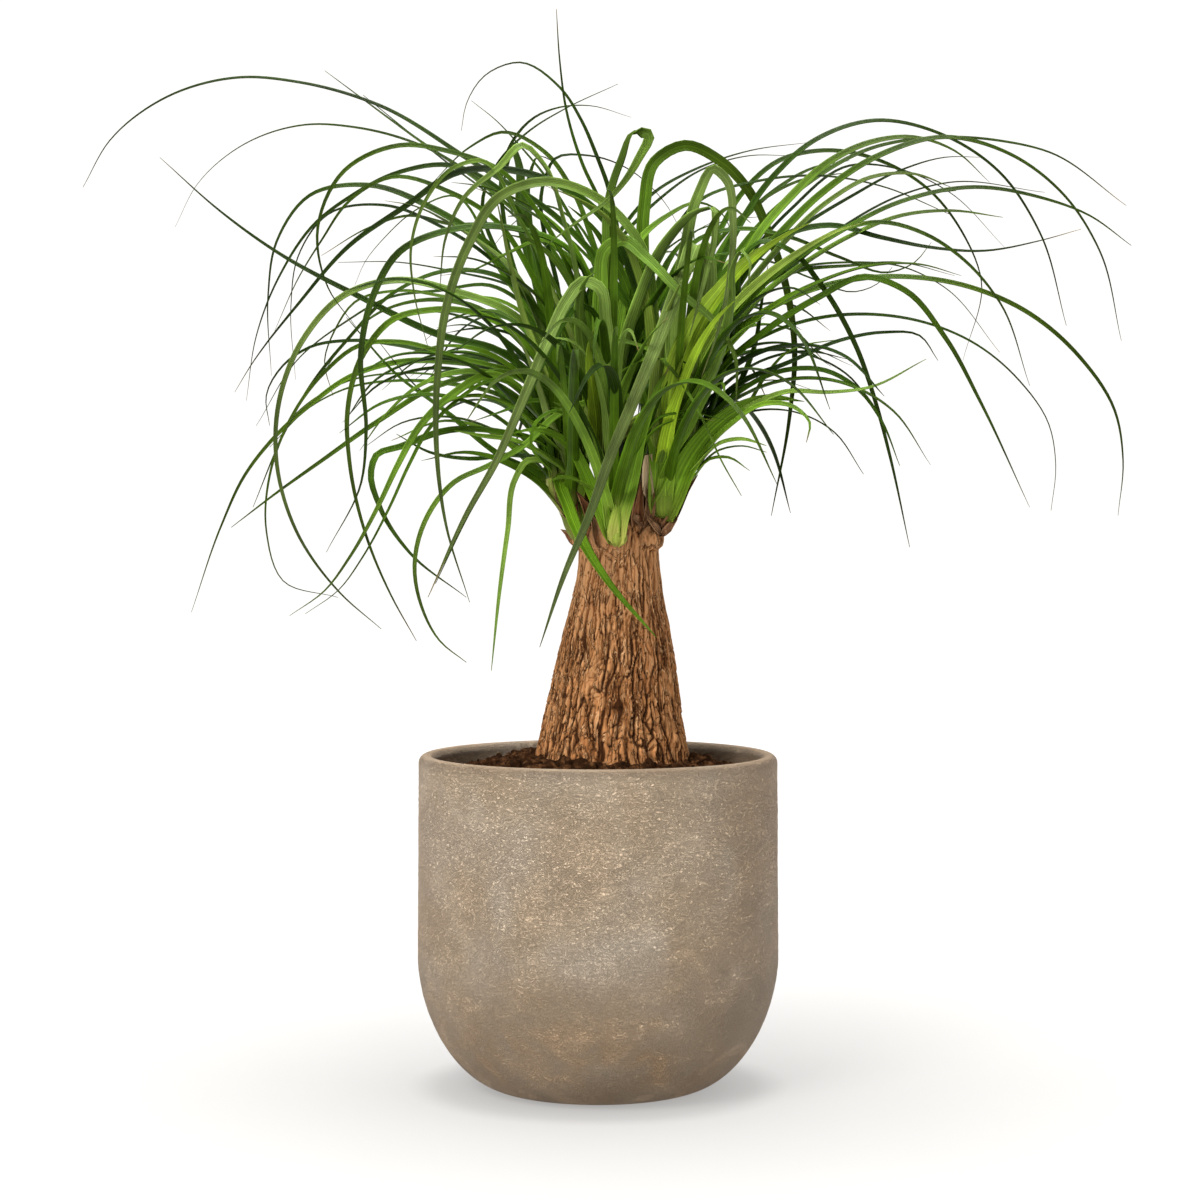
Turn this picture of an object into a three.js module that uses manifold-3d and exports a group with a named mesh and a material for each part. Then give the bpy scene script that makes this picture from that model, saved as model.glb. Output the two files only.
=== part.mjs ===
// Potted ponytail palm: one thick corky stem that carries six heads of long grassy leaves,
// set in soil in a round stone-like pot.
// Millimetres, +Z up. The origin is the centre of the pot's flat foot, and -Y faces the viewer.

import * as THREE from "three";
import { mergeVertices } from "three/addons/utils/BufferGeometryUtils.js";
import Module from "manifold-3d";

const wasm = await Module();
wasm.setup();

// Driving dimensions of the pot
const clearance = 0.3;
const potHeight = 198.3;
const potRadius = 108;
const potWall = 9.7;
const potFloor = 12;
const footRadius = 57;
const lowerBendHeight = 78;
const lowerBendPower = 1.8;
const rimRound = 5;
const potSides = 48;

// Driving dimensions of the soil
const soilAtWall = 182;
const soilRise = 27;
const soilRings = [30, 48, 59, 72, 86];
const soilSides = 24;

// Stem: height, mean radius and sideways place of its middle, from the rounded underside
// that the soil hides up to the domed top under the heads
const stemStations = [
  [130, 22, 6.5],
  [139, 38, 6.5],
  [155, 47.5, 7],
  [175, 49, 7.5],
  [191, 46.8, 8.1],
  [203, 44.5, 8.5],
  [215, 42, 8.8],
  [227, 40, 9.4],
  [239, 37.8, 10],
  [251, 35.7, 10.5],
  [263, 33.2, 11],
  [274, 31, 11.5],
  [285, 28.2, 11.7],
  [295, 26.2, 12],
  [304, 24.6, 12.6],
  [312, 23.6, 12.6],
  [320, 23.2, 12.4],
  [328, 25, 12],
  [335, 23.5, 12],
];
const stemTop = [342, 12];
const stemBottom = [127, 6.5];
const stemSides = 34;
const holeSides = 24;
const furrowCount = 11;
const furrowDepth = 2.4;

// Knobs of healed bark on the stem: centre and radius
const knobs = [
  [33.5, -6, 326.5, 7],
  [-12, -6, 327, 4.5],
  [22, 20, 318, 6],
];

// Heads: base point on top of the stem, lean of the axis, core radius and core length, the
// place inside the stem where the arm under it starts, and how many leaves and dry scales it
// has besides those placed by hand, with the direction those leaves face and how far to either
// side of it they spread, in degrees
const heads = {
  head_front: {
    base: [10, -24, 331], lean: [-0.05, -0.18, 1], radius: 7, length: 30, foot: [11, -14, 318],
    facing: 270, spread: 65, extra: 6, scales: 2,
  },
  head_right: {
    base: [35, -5, 343], lean: [0.42, -0.06, 1], radius: 9, length: 48, foot: [22, -2, 322],
    facing: -10, spread: 120, extra: 7, scales: 3,
  },
  head_left: {
    base: [-8, -8, 331], lean: [-0.55, -0.12, 1], radius: 8, length: 44, foot: [5, -3, 320],
    facing: 190, spread: 110, extra: 8, scales: 2,
  },
  head_centre: {
    base: [9, 4, 349], lean: [-0.06, 0, 1], radius: 9.5, length: 58, foot: [11, 3, 328],
    facing: 90, spread: 180, extra: 12, scales: 2,
  },
  head_back_left: {
    base: [-5, 25, 344], lean: [-0.3, 0.32, 1], radius: 9.5, length: 50, foot: [4, 14, 322],
    facing: 130, spread: 75, extra: 10, scales: 2,
  },
  head_back_right: {
    base: [28, 25, 343], lean: [0.26, 0.36, 1], radius: 9.5, length: 50, foot: [20, 13, 322],
    facing: 50, spread: 75, extra: 10, scales: 2,
  },
};
const sliverSizes = [0.1, 0.07, 0.13, 0.04, 0.16];
const weldSize = 2e-3;
const coreSink = 8;
const coreSides = 8;

// The dry stump between the right and front heads: foot, tip and radius at the foot
const stump = { foot: [26, -12, 326], tip: [28.5, -15, 377], radius: 8.5 };

// Dry husks placed by hand: width, and the points each passes through
const husks = [
  [6, [[41, -9, 334], [46, -11, 345], [52, -12, 356], [59, -12, 367]]],
  [10, [[-8, -10, 324], [-13, -16, 338], [-11, -18, 351], [-5, -18, 365]]],
  [11, [[1, -12, 328], [-2, -19, 342], [-6, -20, 356], [-11, -19, 369]]],
  [9, [[20, -14, 326], [19, -20, 338], [20, -22, 352], [24, -22, 366]]],
  [9, [[31, -10, 328], [34, -18, 339], [35, -20, 350], [32, -20, 362]]],
];
const goldenAngle = THREE.MathUtils.degToRad(137.5);
const goldenShare = 0.618;

// The eye that the leaf routes below are drawn for
const eye = { x: 1.2, z: 344.4, distance: 1660 };

// Leaves placed by hand. Each row is the width, how far the blade turns its face to the viewer,
// the depth of the tip, and the points the leaf passes through on the way to its tip, as x, z
// pairs on the upright plane through the pot's axis, as the eye sees them.
const placedLeaves = {
  head_front: [
    [7.5, 0.2, -130, [6, 398, 4, 458, 0, 478, -9, 481, -17, 472, -29, 448, -47, 406, -61, 374, -80, 340,
      -102, 292]],
    [4.5, 0.4, -50, [25, 371, 34, 403, 42, 422, 50, 434, 60, 418]],
    [5, 0.4, -60, [25, 383, 37, 400, 52, 403, 78, 398]],
    [5.5, 0.4, -75, [3, 362, -9, 391, -25, 404, -37, 397, -40, 383, -29, 368]],
    [5, 0.4, -45, [20, 362, 30, 392, 47, 443]],
    [7, 0.3, -50, [0, 362, -5, 386, -14, 410, -32, 434]],
  ],
  head_left: [
    [5, 0.5, 10, [-32, 362, -59, 377, -95, 406, -119, 424, -151, 460]],
    [6, 0.5, -90, [-23, 398, -53, 452, -77, 463, -101, 464, -122, 459, -140, 439, -150, 404, -149, 374,
      -139, 329, -124, 293, -109, 266]],
    [5.5, 0.5, -20, [-29, 452, -59, 484, -89, 488, -122, 475, -149, 448, -173, 418, -189, 389,
      -207, 346]],
    [7.5, 0.5, -70, [-23, 410, -47, 458, -89, 476, -119, 482, -152, 473, -177, 446, -191, 410,
      -193, 377, -181, 332, -155, 295, -130, 273]],
    [7, 0.5, -40, [-23, 398, -59, 439, -95, 449, -143, 472, -191, 498, -227, 524, -263, 556]],
    [6.5, 0.5, -60, [-26, 398, -47, 424, -95, 419, -131, 398, -167, 373, -191, 356, -220, 334]],
    [7, 0.5, -100, [-29, 392, -65, 425, -89, 412, -107, 394, -119, 373, -132, 346, -149, 316,
      -164, 296, -185, 281]],
    [6.5, 0.4, -85, [-32, 383, -59, 391, -89, 392, -119, 382, -133, 377, -136, 368, -131, 347,
      -113, 319, -79, 292]],
    [5.5, 0.5, 0, [-23, 368, -47, 377, -77, 375, -101, 379, -121, 390]],
    [4.5, 0.5, -70, [-32, 373, -42, 374, -49, 364, -54, 332, -59, 296, -64, 248]],
    [4, 0.5, 90, [-35, 440, -56, 515, -57, 551, -51, 566, -38, 580, -23, 586, -5, 587, 20, 580]],
    [3.5, 0.5, 60, [-23, 470, -32, 542, -26, 555, -5, 557, 20, 548, 40, 529, 53, 505]],
    [4.5, 0.5, 70, [-14, 452, 13, 506, 37, 531, 61, 548, 91, 557, 115, 557]],
    [5.5, 0.4, -60, [-35, 410, -59, 403, -77, 397]],
    [8, 0.4, -40, [-21, 343, -35, 360, -52, 371, -80, 379, -106, 374]],
    [7, 0.4, 20, [-20, 346, -38, 369, -62, 390, -92, 398, -124, 386]],
    [8.5, 0.2, -110, [-15, 361, -22, 363, -18, 347, -9, 325, 4, 304, 35, 268]],
    [4.5, 0.5, -30, [-23, 410, -89, 437, -119, 445, -143, 443, -164, 427, -185, 398, -197, 365,
      -199, 332, -189, 302, -156, 292]],
  ],
  head_back_left: [
    [7, 0.5, 60, [-23, 422, -35, 452, -59, 496, -101, 526, -137, 539, -173, 533, -193, 505, -198, 473,
      -196, 425]],
    [5.5, 0.5, 60, [-29, 470, -59, 536, -89, 551, -119, 547, -149, 532, -169, 517, -191, 485,
      -205, 449, -211, 410]],
    [12, 0.1, 130, [-17, 410, -32, 470, -46, 521, -48, 554, -50, 560, -59, 530]],
    [4, 0.5, 40, [-29, 446, -59, 470, -89, 472, -119, 476, -146, 469, -158, 452, -164, 434,
      -159, 413]],
    [5, 0.5, 50, [-29, 416, -59, 433, -89, 436, -119, 443, -149, 446, -173, 442, -189, 431,
      -199, 413, -197, 395]],
    [5.5, 0.5, 20, [-29, 410, -59, 428, -89, 433, -119, 433, -149, 424, -173, 407, -193, 389,
      -212, 365, -226, 335, -244, 283]],
    [4, 0.5, 90, [-59, 413, -89, 420, -119, 422, -149, 418, -173, 406, -197, 382]],
    [4, 0.5, 80, [-35, 458, -65, 479, -95, 476, -125, 472, -152, 457, -179, 436, -205, 395]],
    [3, 0.5, 110, [-47, 476, -89, 488, -119, 493, -156, 493]],
    [3.5, 0.5, 110, [-47, 470, -68, 536, -59, 554, -41, 572, -20, 585, 12, 600]],
    [4, 0.5, 110, [-5, 470, 10, 506, 34, 535, 61, 550, 91, 560, 127, 565]],
  ],
  head_centre: [
    [5, 0.5, 70, [-5, 440, -23, 493, -71, 541, -107, 566, -164, 608]],
    [6, 0.5, -40, [-11, 470, -35, 521, -59, 548, -88, 559, -119, 563, -152, 548, -168, 514,
      -162, 478, -145, 454]],
    [5, 0.5, 10, [-35, 476, -65, 521, -89, 535, -124, 544, -149, 530, -166, 506, -179, 485,
      -194, 452]],
    [7.5, 0.45, -60, [1, 452, -17, 500, -59, 514, -89, 512, -119, 499, -135, 472, -142, 440,
      -139, 392, -142, 361, -163, 319]],
    [6.5, 0.3, -70, [-8, 440, -14, 493, -21, 521, -32, 551, -45, 563, -59, 550, -80, 532, -91, 509,
      -95, 476]],
    [3.5, 0.6, 20, [4, 470, 1, 529, -9, 551, -19, 584, -23, 614, -25, 645]],
    [3.5, 0.5, 90, [1, 482, -17, 521, -32, 545, -47, 563, -61, 578, -76, 590]],
    [3, 0.5, 60, [-59, 488, -89, 533, -110, 524, -128, 508, -140, 493, -146, 479]],
    [4.5, 0.5, -90, [-47, 518, -71, 554, -86, 550, -104, 529, -112, 503, -110, 473, -102, 442]],
    [6.5, 0.2, -80, [2, 470, 4, 500, 5, 527, 13, 554, 22, 571, 30, 570, 24, 554, 8, 532, -17, 514,
      -35, 500]],
    [7.5, 0.2, -90, [25, 470, 42, 506, 61, 524, 68, 526, 70, 511, 65, 487, 55, 449]],
    [4, 0.5, 50, [37, 494, 61, 530, 97, 542, 133, 545, 169, 539, 213, 521]],
    [5.5, 0.5, -30, [37, 470, 61, 507, 85, 513, 115, 508, 145, 496, 175, 487, 190, 493, 200, 505]],
    [9, 0.3, -20, [1, 392, -4, 440, -5, 478]],
    [8, 0.25, -100, [6, 410, 2, 476, 6, 502, 14, 506, 28, 496, 49, 475, 70, 457, 82, 437, 83, 409]],
    [3.5, 0.5, -100, [7, 446, 25, 443, 43, 430, 55, 413, 65, 394, 73, 376, 86, 353]],
  ],
  head_right: [
    [6, 0.45, 30, [20, 464, -23, 518, -77, 554, -131, 587, -179, 601, -215, 604, -263, 590,
      -293, 566, -309, 538]],
    [8, 0.5, -20, [25, 470, 1, 521, -47, 547, -83, 547, -116, 526, -149, 503, -179, 469, -209, 430,
      -218, 415]],
    [6, 0.5, -110, [25, 410, 1, 410, -23, 402, -44, 383, -65, 371, -86, 361, -104, 337, -110, 311,
      -106, 287, -95, 266, -79, 253]],
    [8, 0.35, -120, [34, 452, 25, 503, 1, 530, -33, 541, -59, 532, -77, 505, -90, 470, -96, 428,
      -97, 386, -91, 335, -77, 289]],
    [7, 0.4, -60, [70, 410, 84, 470, 88, 497, 97, 505, 115, 500, 133, 480, 153, 446, 167, 407,
      175, 377, 187, 322]],
    [7.5, 0.15, -110, [44, 452, 52, 500, 60, 533, 70, 549, 76, 544, 81, 518, 79, 485, 72, 452,
      62, 424]],
    [9, 0.15, -140, [55, 446, 64, 493, 60, 505, 53, 488, 37, 446, 22, 410, 8, 377, -5, 341,
      -20, 306, -35, 262]],
    [6.5, 0.5, 50, [61, 452, 82, 509, 106, 545, 130, 566, 166, 578, 208, 569, 241, 547, 265, 511,
      281, 455]],
    [7.5, 0.5, -30, [73, 470, 106, 506, 133, 533, 169, 557, 208, 568, 247, 558, 280, 533, 301, 500,
      314, 446]],
    [7, 0.5, -70, [73, 452, 109, 487, 145, 511, 181, 529, 226, 538, 265, 532, 295, 521, 320, 503]],
    [6.5, 0.5, -50, [79, 470, 112, 509, 139, 515, 169, 508, 199, 502, 232, 500, 265, 506, 290, 513]],
    [5, 0.5, -90, [82, 458, 115, 493, 145, 512, 169, 517, 196, 510, 220, 494, 241, 469, 259, 419]],
    [6.5, 0.5, -40, [64, 410, 82, 449, 115, 471, 151, 482, 187, 484, 223, 478, 259, 462, 289, 436,
      310, 404, 315, 374, 312, 341]],
    [6.5, 0.5, -85, [55, 392, 73, 427, 100, 451, 133, 472, 160, 484, 184, 476, 208, 448, 229, 410,
      259, 346]],
    [6, 0.5, -20, [61, 392, 82, 418, 115, 433, 145, 446, 172, 451, 193, 449, 204, 434]],
    [6, 0.5, -60, [55, 380, 82, 413, 112, 428, 136, 428, 157, 416, 170, 398, 181, 371]],
    [6.5, 0.5, -80, [67, 388, 91, 406, 112, 415, 139, 415, 163, 418, 197, 435]],
    [7, 0.5, -95, [61, 377, 79, 395, 100, 408, 118, 406, 127, 397, 125, 385]],
    [7, 0.4, -70, [58, 370, 72, 384, 86, 387, 101, 383]],
    [4, 0.4, -55, [55, 362, 67, 375, 78, 376, 91, 368]],
    [3.5, 0.5, 0, [61, 380, 88, 404, 100, 424, 112, 438, 151, 448]],
    [7, 0.5, 10, [64, 380, 82, 413, 95, 446, 98, 467, 102, 491]],
    [10, 0.2, 20, [46, 398, 55, 434, 66, 460, 82, 493]],
  ],
  head_back_right: [
    [6.5, 0.5, 60, [19, 452, 1, 493, -16, 537, -32, 559, -58, 571, -77, 562, -101, 539]],
    [5, 0.5, 50, [16, 470, 5, 541, -1, 557, -10, 578, -23, 598, -47, 613, -68, 605, -79, 588,
      -82, 572]],
    [7.5, 0.35, 40, [31, 440, 27, 494, 28, 527, 34, 553, 52, 563, 73, 554, 91, 535, 103, 509,
      112, 482, 118, 440, 115, 401, 104, 341]],
    [6, 0.5, 90, [70, 476, 100, 518, 127, 541, 163, 561, 205, 568, 241, 566, 271, 559, 317, 527]],
    [3.5, 0.5, 120, [91, 464, 121, 494, 151, 517, 181, 533, 211, 541, 268, 535]],
    [3, 0.5, 140, [115, 524, 151, 551, 184, 548, 211, 535, 244, 502]],
    [4.5, 0.5, 70, [88, 493, 121, 514, 151, 532, 181, 548, 208, 556, 232, 556]],
    [5.5, 0.5, 110, [91, 476, 121, 488, 151, 491, 181, 493, 214, 485]],
    [3, 0.5, 130, [121, 490, 151, 493, 184, 490, 208, 478, 241, 439]],
    [7.5, 0.2, 60, [37, 410, 34, 452, 25, 479, 14, 500]],
    [5.5, 0.5, 120, [-23, 500, -59, 515, -89, 516, -113, 521, -137, 514, -166, 497]],
    [5.5, 0.45, 100, [72, 509, 88, 536, 109, 554, 136, 560, 169, 554, 199, 536, 218, 512, 230, 482,
      219, 434]],
  ],
};

const bladeTolerance = 2.8;

// How far a leaf's tip moves in depth, or its direction in degrees, until it clears its neighbours
const depthTries = [0, 14, -14, 28, -28, 42, -42, 60, -60];
const angleTries = [0, 4, -4, 8, -8, 13, -13, 19, -19];

const up = new THREE.Vector3(0, 0, 1);
const toViewer = new THREE.Vector3(0, -1, 0);

const leafMaterial = new THREE.MeshStandardMaterial({ color: 0x3f6b22, roughness: 0.5 });
const stemMaterial = new THREE.MeshStandardMaterial({ color: 0xa57848, roughness: 0.9 });
const soilMaterial = new THREE.MeshStandardMaterial({ color: 0x3a2318, roughness: 1 });
const potMaterial = new THREE.MeshStandardMaterial({ color: 0x8f8478, roughness: 0.85 });

// The same draws every time, between 0 and 1
function seededDraws(seed) {
  let state = seed;
  return () => {
    state = (state * 16807) % 2147483647;
    return state / 2147483647;
  };
}

function toSolid(geometry, weld = 1e-4) {
  geometry.deleteAttribute("normal");
  geometry.deleteAttribute("uv");
  const merged = mergeVertices(geometry, weld);
  const index = merged.index.array;
  const faces = [];
  for (let i = 0; i < index.length; i += 3) {
    const [a, b, c] = [index[i], index[i + 1], index[i + 2]];
    if (a !== b && b !== c && c !== a) faces.push(a, b, c);
  }
  return solidFrom(merged.attributes.position.array, faces);
}

function solidFrom(coordinates, faces) {
  return new wasm.Manifold(new wasm.Mesh({
    numProp: 3,
    vertProperties: Float32Array.from(coordinates),
    triVerts: Uint32Array.from(faces),
  }));
}

function toGeometry(solid) {
  const result = solid.getMesh();
  const geometry = new THREE.BufferGeometry();
  geometry.setAttribute("position", new THREE.BufferAttribute(result.vertProperties, 3));
  geometry.setIndex(new THREE.BufferAttribute(result.triVerts, 1));
  return geometry;
}

function toMesh(name, solid, material) {
  const geometry = toGeometry(solid);
  geometry.computeVertexNormals();
  const mesh = new THREE.Mesh(geometry, material);
  mesh.name = name;
  return mesh;
}

// Whether no two sheets of a skin touch along an edge: each edge joins just two faces
function edgesArePaired(solid) {
  const index = mergeVertices(toGeometry(solid), weldSize).index.array;
  const uses = new Map();
  for (let i = 0; i < index.length; i += 3) {
    for (let corner = 0; corner < 3; corner++) {
      const [a, b] = [index[i + corner], index[i + ((corner + 1) % 3)]];
      const edge = `${Math.min(a, b)} ${Math.max(a, b)}`;
      uses.set(edge, (uses.get(edge) ?? 0) + 1);
    }
  }
  return [...uses.values()].every((count) => count === 2);
}

// The largest body of a solid, without loose scraps, slivers or hollows sealed inside it
function mainBody(solid) {
  let largest = solid;
  for (const size of sliverSizes) {
    const welded = toSolid(toGeometry(solid.simplify(size)), weldSize);
    const bodies = welded.decompose();
    largest = bodies.reduce((best, body) => (body.volume() > best.volume() ? body : best));
    if (edgesArePaired(largest)) break;
  }
  return largest;
}

// A profile of radius, height pairs turned round the Z axis
function turned(profile, sides) {
  const points = profile.map(([radius, height]) => new THREE.Vector2(radius, height));
  return toSolid(new THREE.LatheGeometry(points, sides).rotateX(Math.PI / 2));
}

// The pot's outer radius at a height in its rounded lower part
function lowerBend(height, inset) {
  const drop = 1 - (height - inset) / (lowerBendHeight - inset);
  const reach = Math.pow(1 - Math.pow(drop, lowerBendPower), 1 / lowerBendPower);
  return footRadius + (potRadius - footRadius - inset) * reach;
}

// Points of the pot's inner wall from the rim down to the floor, moved inwards by a gap
function innerWall(gap, topHeight) {
  const points = [[potRadius - potWall - gap, topHeight]];
  const floor = potFloor + gap;
  for (const share of [1, 0.5, 0.18, 0.04]) {
    const height = floor + (lowerBendHeight - floor) * share;
    const radius = lowerBend(height, potWall) - gap;
    points.push([Math.min(radius, potRadius - potWall - gap), height]);
  }
  points.push([footRadius - gap, floor], [0, floor]);
  return points;
}

function pot() {
  const profile = [[0, 0], [footRadius, 0]];
  for (const share of [0.04, 0.12, 0.24, 0.4, 0.58, 0.78, 1]) {
    profile.push([lowerBend(lowerBendHeight * share, 0), lowerBendHeight * share]);
  }
  const crestRadius = potRadius - 0.5 - potWall / 2;
  profile.push([potRadius - 0.3, 140], [potRadius - 0.5, potHeight - rimRound]);
  for (const degrees of [40, 75, 105, 140]) {
    const turn = THREE.MathUtils.degToRad(degrees);
    profile.push([
      crestRadius + (potWall / 2) * Math.cos(turn),
      potHeight - rimRound + rimRound * Math.sin(turn),
    ]);
  }
  profile.push(...innerWall(0, potHeight - rimRound - 1));
  return turned(profile, potSides);
}

// Crumbly ground: it rises to the stem, with lumps from a few crossing waves
function soilHeight(x, y) {
  const radius = Math.hypot(x, y);
  const lumps = 1.5 * Math.sin(0.29 * x + 0.7) * Math.cos(0.33 * y - 0.4)
    + 0.9 * Math.sin(0.47 * x - 0.38 * y + 1.9) + 0.7 * Math.cos(0.21 * x + 0.52 * y);
  return soilAtWall + soilRise * (1 - radius / potRadius) + lumps;
}

function soil() {
  const wallRadius = potRadius - potWall - clearance;
  const floorProfile = innerWall(clearance, soilAtWall - 6);
  const coordinates = [];
  const addRing = (radius, heightAt) => {
    for (let side = 0; side < soilSides; side++) {
      const angle = (2 * Math.PI * side) / soilSides;
      const x = radius * Math.cos(angle);
      const y = radius * Math.sin(angle);
      coordinates.push(x, y, heightAt(x, y));
    }
  };
  coordinates.push(0, 0, soilHeight(0, 0));
  for (const radius of [...soilRings, wallRadius]) addRing(radius, soilHeight);
  for (const [radius, height] of floorProfile.slice(0, -1)) addRing(radius, () => height);
  coordinates.push(0, 0, floorProfile.at(-1)[1]);
  const ringCount = (coordinates.length / 3 - 2) / soilSides;
  return solidFrom(coordinates, ringedFaces(ringCount, soilSides)).subtract(stemHole());
}

// Faces of a closed skin: a first pole, rings of vertices that turn anticlockwise seen from
// the first pole, and a last pole
function ringedFaces(ringCount, sides) {
  const faces = [];
  const at = (ring, side) => 1 + ring * sides + (side % sides);
  const lastPole = 1 + ringCount * sides;
  for (let side = 0; side < sides; side++) {
    faces.push(0, at(0, side), at(0, side + 1));
    faces.push(lastPole, at(ringCount - 1, side + 1), at(ringCount - 1, side));
  }
  for (let ring = 0; ring + 1 < ringCount; ring++) {
    for (let side = 0; side < sides; side++) {
      const [a, b] = [at(ring, side), at(ring, side + 1)];
      const [c, d] = [at(ring + 1, side), at(ring + 1, side + 1)];
      faces.push(a, c, d, a, d, b);
    }
  }
  return faces;
}

// Corky bark: furrows that wander as they climb, deepest at the foot of the stem
function barkRelief(angle, height) {
  const wander = angle + 0.2 * Math.sin(height / 21) + 0.11 * Math.sin(height / 9 + 2 * angle);
  const furrow = Math.pow(Math.abs(Math.cos((furrowCount / 2) * wander)), 5);
  const plates = 0.5 * Math.sin(height / 5.5 + 3 * angle);
  const fade = THREE.MathUtils.clamp((345 - height) / 120, 0.25, 1);
  return (plates - furrowDepth * furrow) * fade;
}

function stemSkin(sides, grow, relief) {
  const coordinates = [stemTop[1], 0, stemTop[0] + grow];
  for (const [height, radius, middle] of [...stemStations].reverse()) {
    for (let side = 0; side < sides; side++) {
      const angle = (2 * Math.PI * side) / sides;
      const reach = radius + grow + relief(angle, height);
      coordinates.push(middle + reach * Math.cos(angle), reach * Math.sin(angle), height);
    }
  }
  coordinates.push(stemBottom[1], 0, stemBottom[0] - grow);
  return solidFrom(coordinates, ringedFaces(stemStations.length, sides));
}

// A plain hole in the soil that clears the bark
function stemHole() {
  const plates = 0.8;
  const flats = 47 * (1 - Math.cos(Math.PI / holeSides));
  return stemSkin(holeSides, clearance + plates + flats, () => 0);
}

function headAxis(head) {
  return new THREE.Vector3(...head.lean).normalize();
}

// The core that a head's leaves stand out of: a bulb that narrows upwards
function coreRadius(head, height) {
  const share = THREE.MathUtils.clamp(height / head.length, 0, 1);
  return head.radius * (1 - 0.6 * Math.pow(share, 1.3));
}

function headCore(head, grow) {
  const profile = [[0, -coreSink - grow], [head.radius * 0.75 + grow, -coreSink - grow]];
  for (const share of [0, 0.5, 1]) {
    profile.push([coreRadius(head, share * head.length) + grow, share * head.length]);
  }
  profile.push([0, head.length + 4 + grow]);
  const place = new THREE.Matrix4().makeRotationFromQuaternion(
    new THREE.Quaternion().setFromUnitVectors(up, headAxis(head)),
  ).setPosition(...head.base);
  return turned(profile, coreSides).transform(place.elements);
}

// A round bar between two points, of a radius at each end
function bar(from, to, fromRadius, toRadius, sides) {
  const start = new THREE.Vector3(...from);
  const direction = new THREE.Vector3(...to).sub(start);
  const cylinder = new THREE.CylinderGeometry(toRadius, fromRadius, direction.length(), sides);
  cylinder.applyQuaternion(new THREE.Quaternion().setFromUnitVectors(
    new THREE.Vector3(0, 1, 0),
    direction.clone().normalize(),
  ));
  cylinder.translate(...start.addScaledVector(direction, 0.5).toArray());
  return toSolid(cylinder);
}

// A short arm of the stem that carries one head
function stemArm(head) {
  return bar(head.foot, head.base, head.radius + 3, head.radius + 1.2, 12);
}

function knob([x, y, z, radius]) {
  const ball = new THREE.SphereGeometry(radius, 10, 7);
  ball.scale(1, 1, 1.25);
  ball.translate(x, y, z);
  return toSolid(ball);
}

// The point of a head's core at a height, with the direction pointing out of it there
function onCore(head, height, azimuth) {
  const axis = headAxis(head);
  const out = new THREE.Vector3(Math.cos(azimuth), Math.sin(azimuth), 0);
  out.addScaledVector(axis, -axis.dot(out)).normalize();
  const point = new THREE.Vector3(...head.base).addScaledVector(axis, height);
  return { axis, out, point };
}

// A leaf starts inside the core
function leafRoot(head, height, azimuth) {
  const { out, point } = onCore(head, height, azimuth);
  return point.addScaledVector(out, 0.3 * coreRadius(head, height));
}

// The point at a depth that the eye sees at x, z on the upright plane through the pot's axis
function sightPoint(x, z, depth) {
  const scale = (eye.distance + depth) / eye.distance;
  return new THREE.Vector3(eye.x + (x - eye.x) * scale, depth, eye.z + (z - eye.z) * scale);
}

// Points of a leaf placed by hand, from its root in the core to its tip
function placedPoints(head, [, , tipDepth, flat], shift) {
  const seen = [];
  for (let i = 0; i < flat.length; i += 2) seen.push([flat[i], flat[i + 1]]);
  const base = new THREE.Vector3(...head.base);
  const runs = [];
  let run = 0;
  let [lastX, lastZ] = [base.x, base.z + 0.5 * head.length];
  for (const [x, z] of seen) {
    run += Math.hypot(x - lastX, z - lastZ);
    runs.push(run);
    [lastX, lastZ] = [x, z];
  }
  const passed = seen.map(([x, z], i) =>
    sightPoint(x, z, base.y + (tipDepth + shift - base.y) * (runs[i] / run)));
  const first = passed[0].clone().sub(base);
  const middle = passed[Math.floor(passed.length / 2)].clone().sub(base);
  const climb = Math.atan2(first.z, Math.hypot(first.x, first.y)) / (Math.PI / 2);
  const height = head.length * (0.12 + 0.75 * THREE.MathUtils.clamp(climb, 0, 1));
  return [leafRoot(head, height, Math.atan2(middle.y, middle.x)), ...passed];
}

// Points of a leaf set by the spiral of the head: it climbs, then bends over under its weight
function spiralPoints(head, leaf, shift) {
  const steps = 24;
  const azimuth = leaf.azimuth + THREE.MathUtils.degToRad(shift);
  const points = [leafRoot(head, leaf.height, azimuth)];
  const point = points[0].clone();
  const stride = leaf.length / steps;
  for (let step = 0; step < steps; step++) {
    const share = (step + 0.5) / steps;
    const climb = leaf.climb - leaf.bend * Math.pow(share, 1.4);
    const heading = azimuth + leaf.drift * share;
    point.x += stride * Math.cos(climb) * Math.cos(heading);
    point.y += stride * Math.cos(climb) * Math.sin(heading);
    point.z += stride * Math.sin(climb);
    if ((step + 1) % 4 === 0) points.push(point.clone());
  }
  return points;
}

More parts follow.
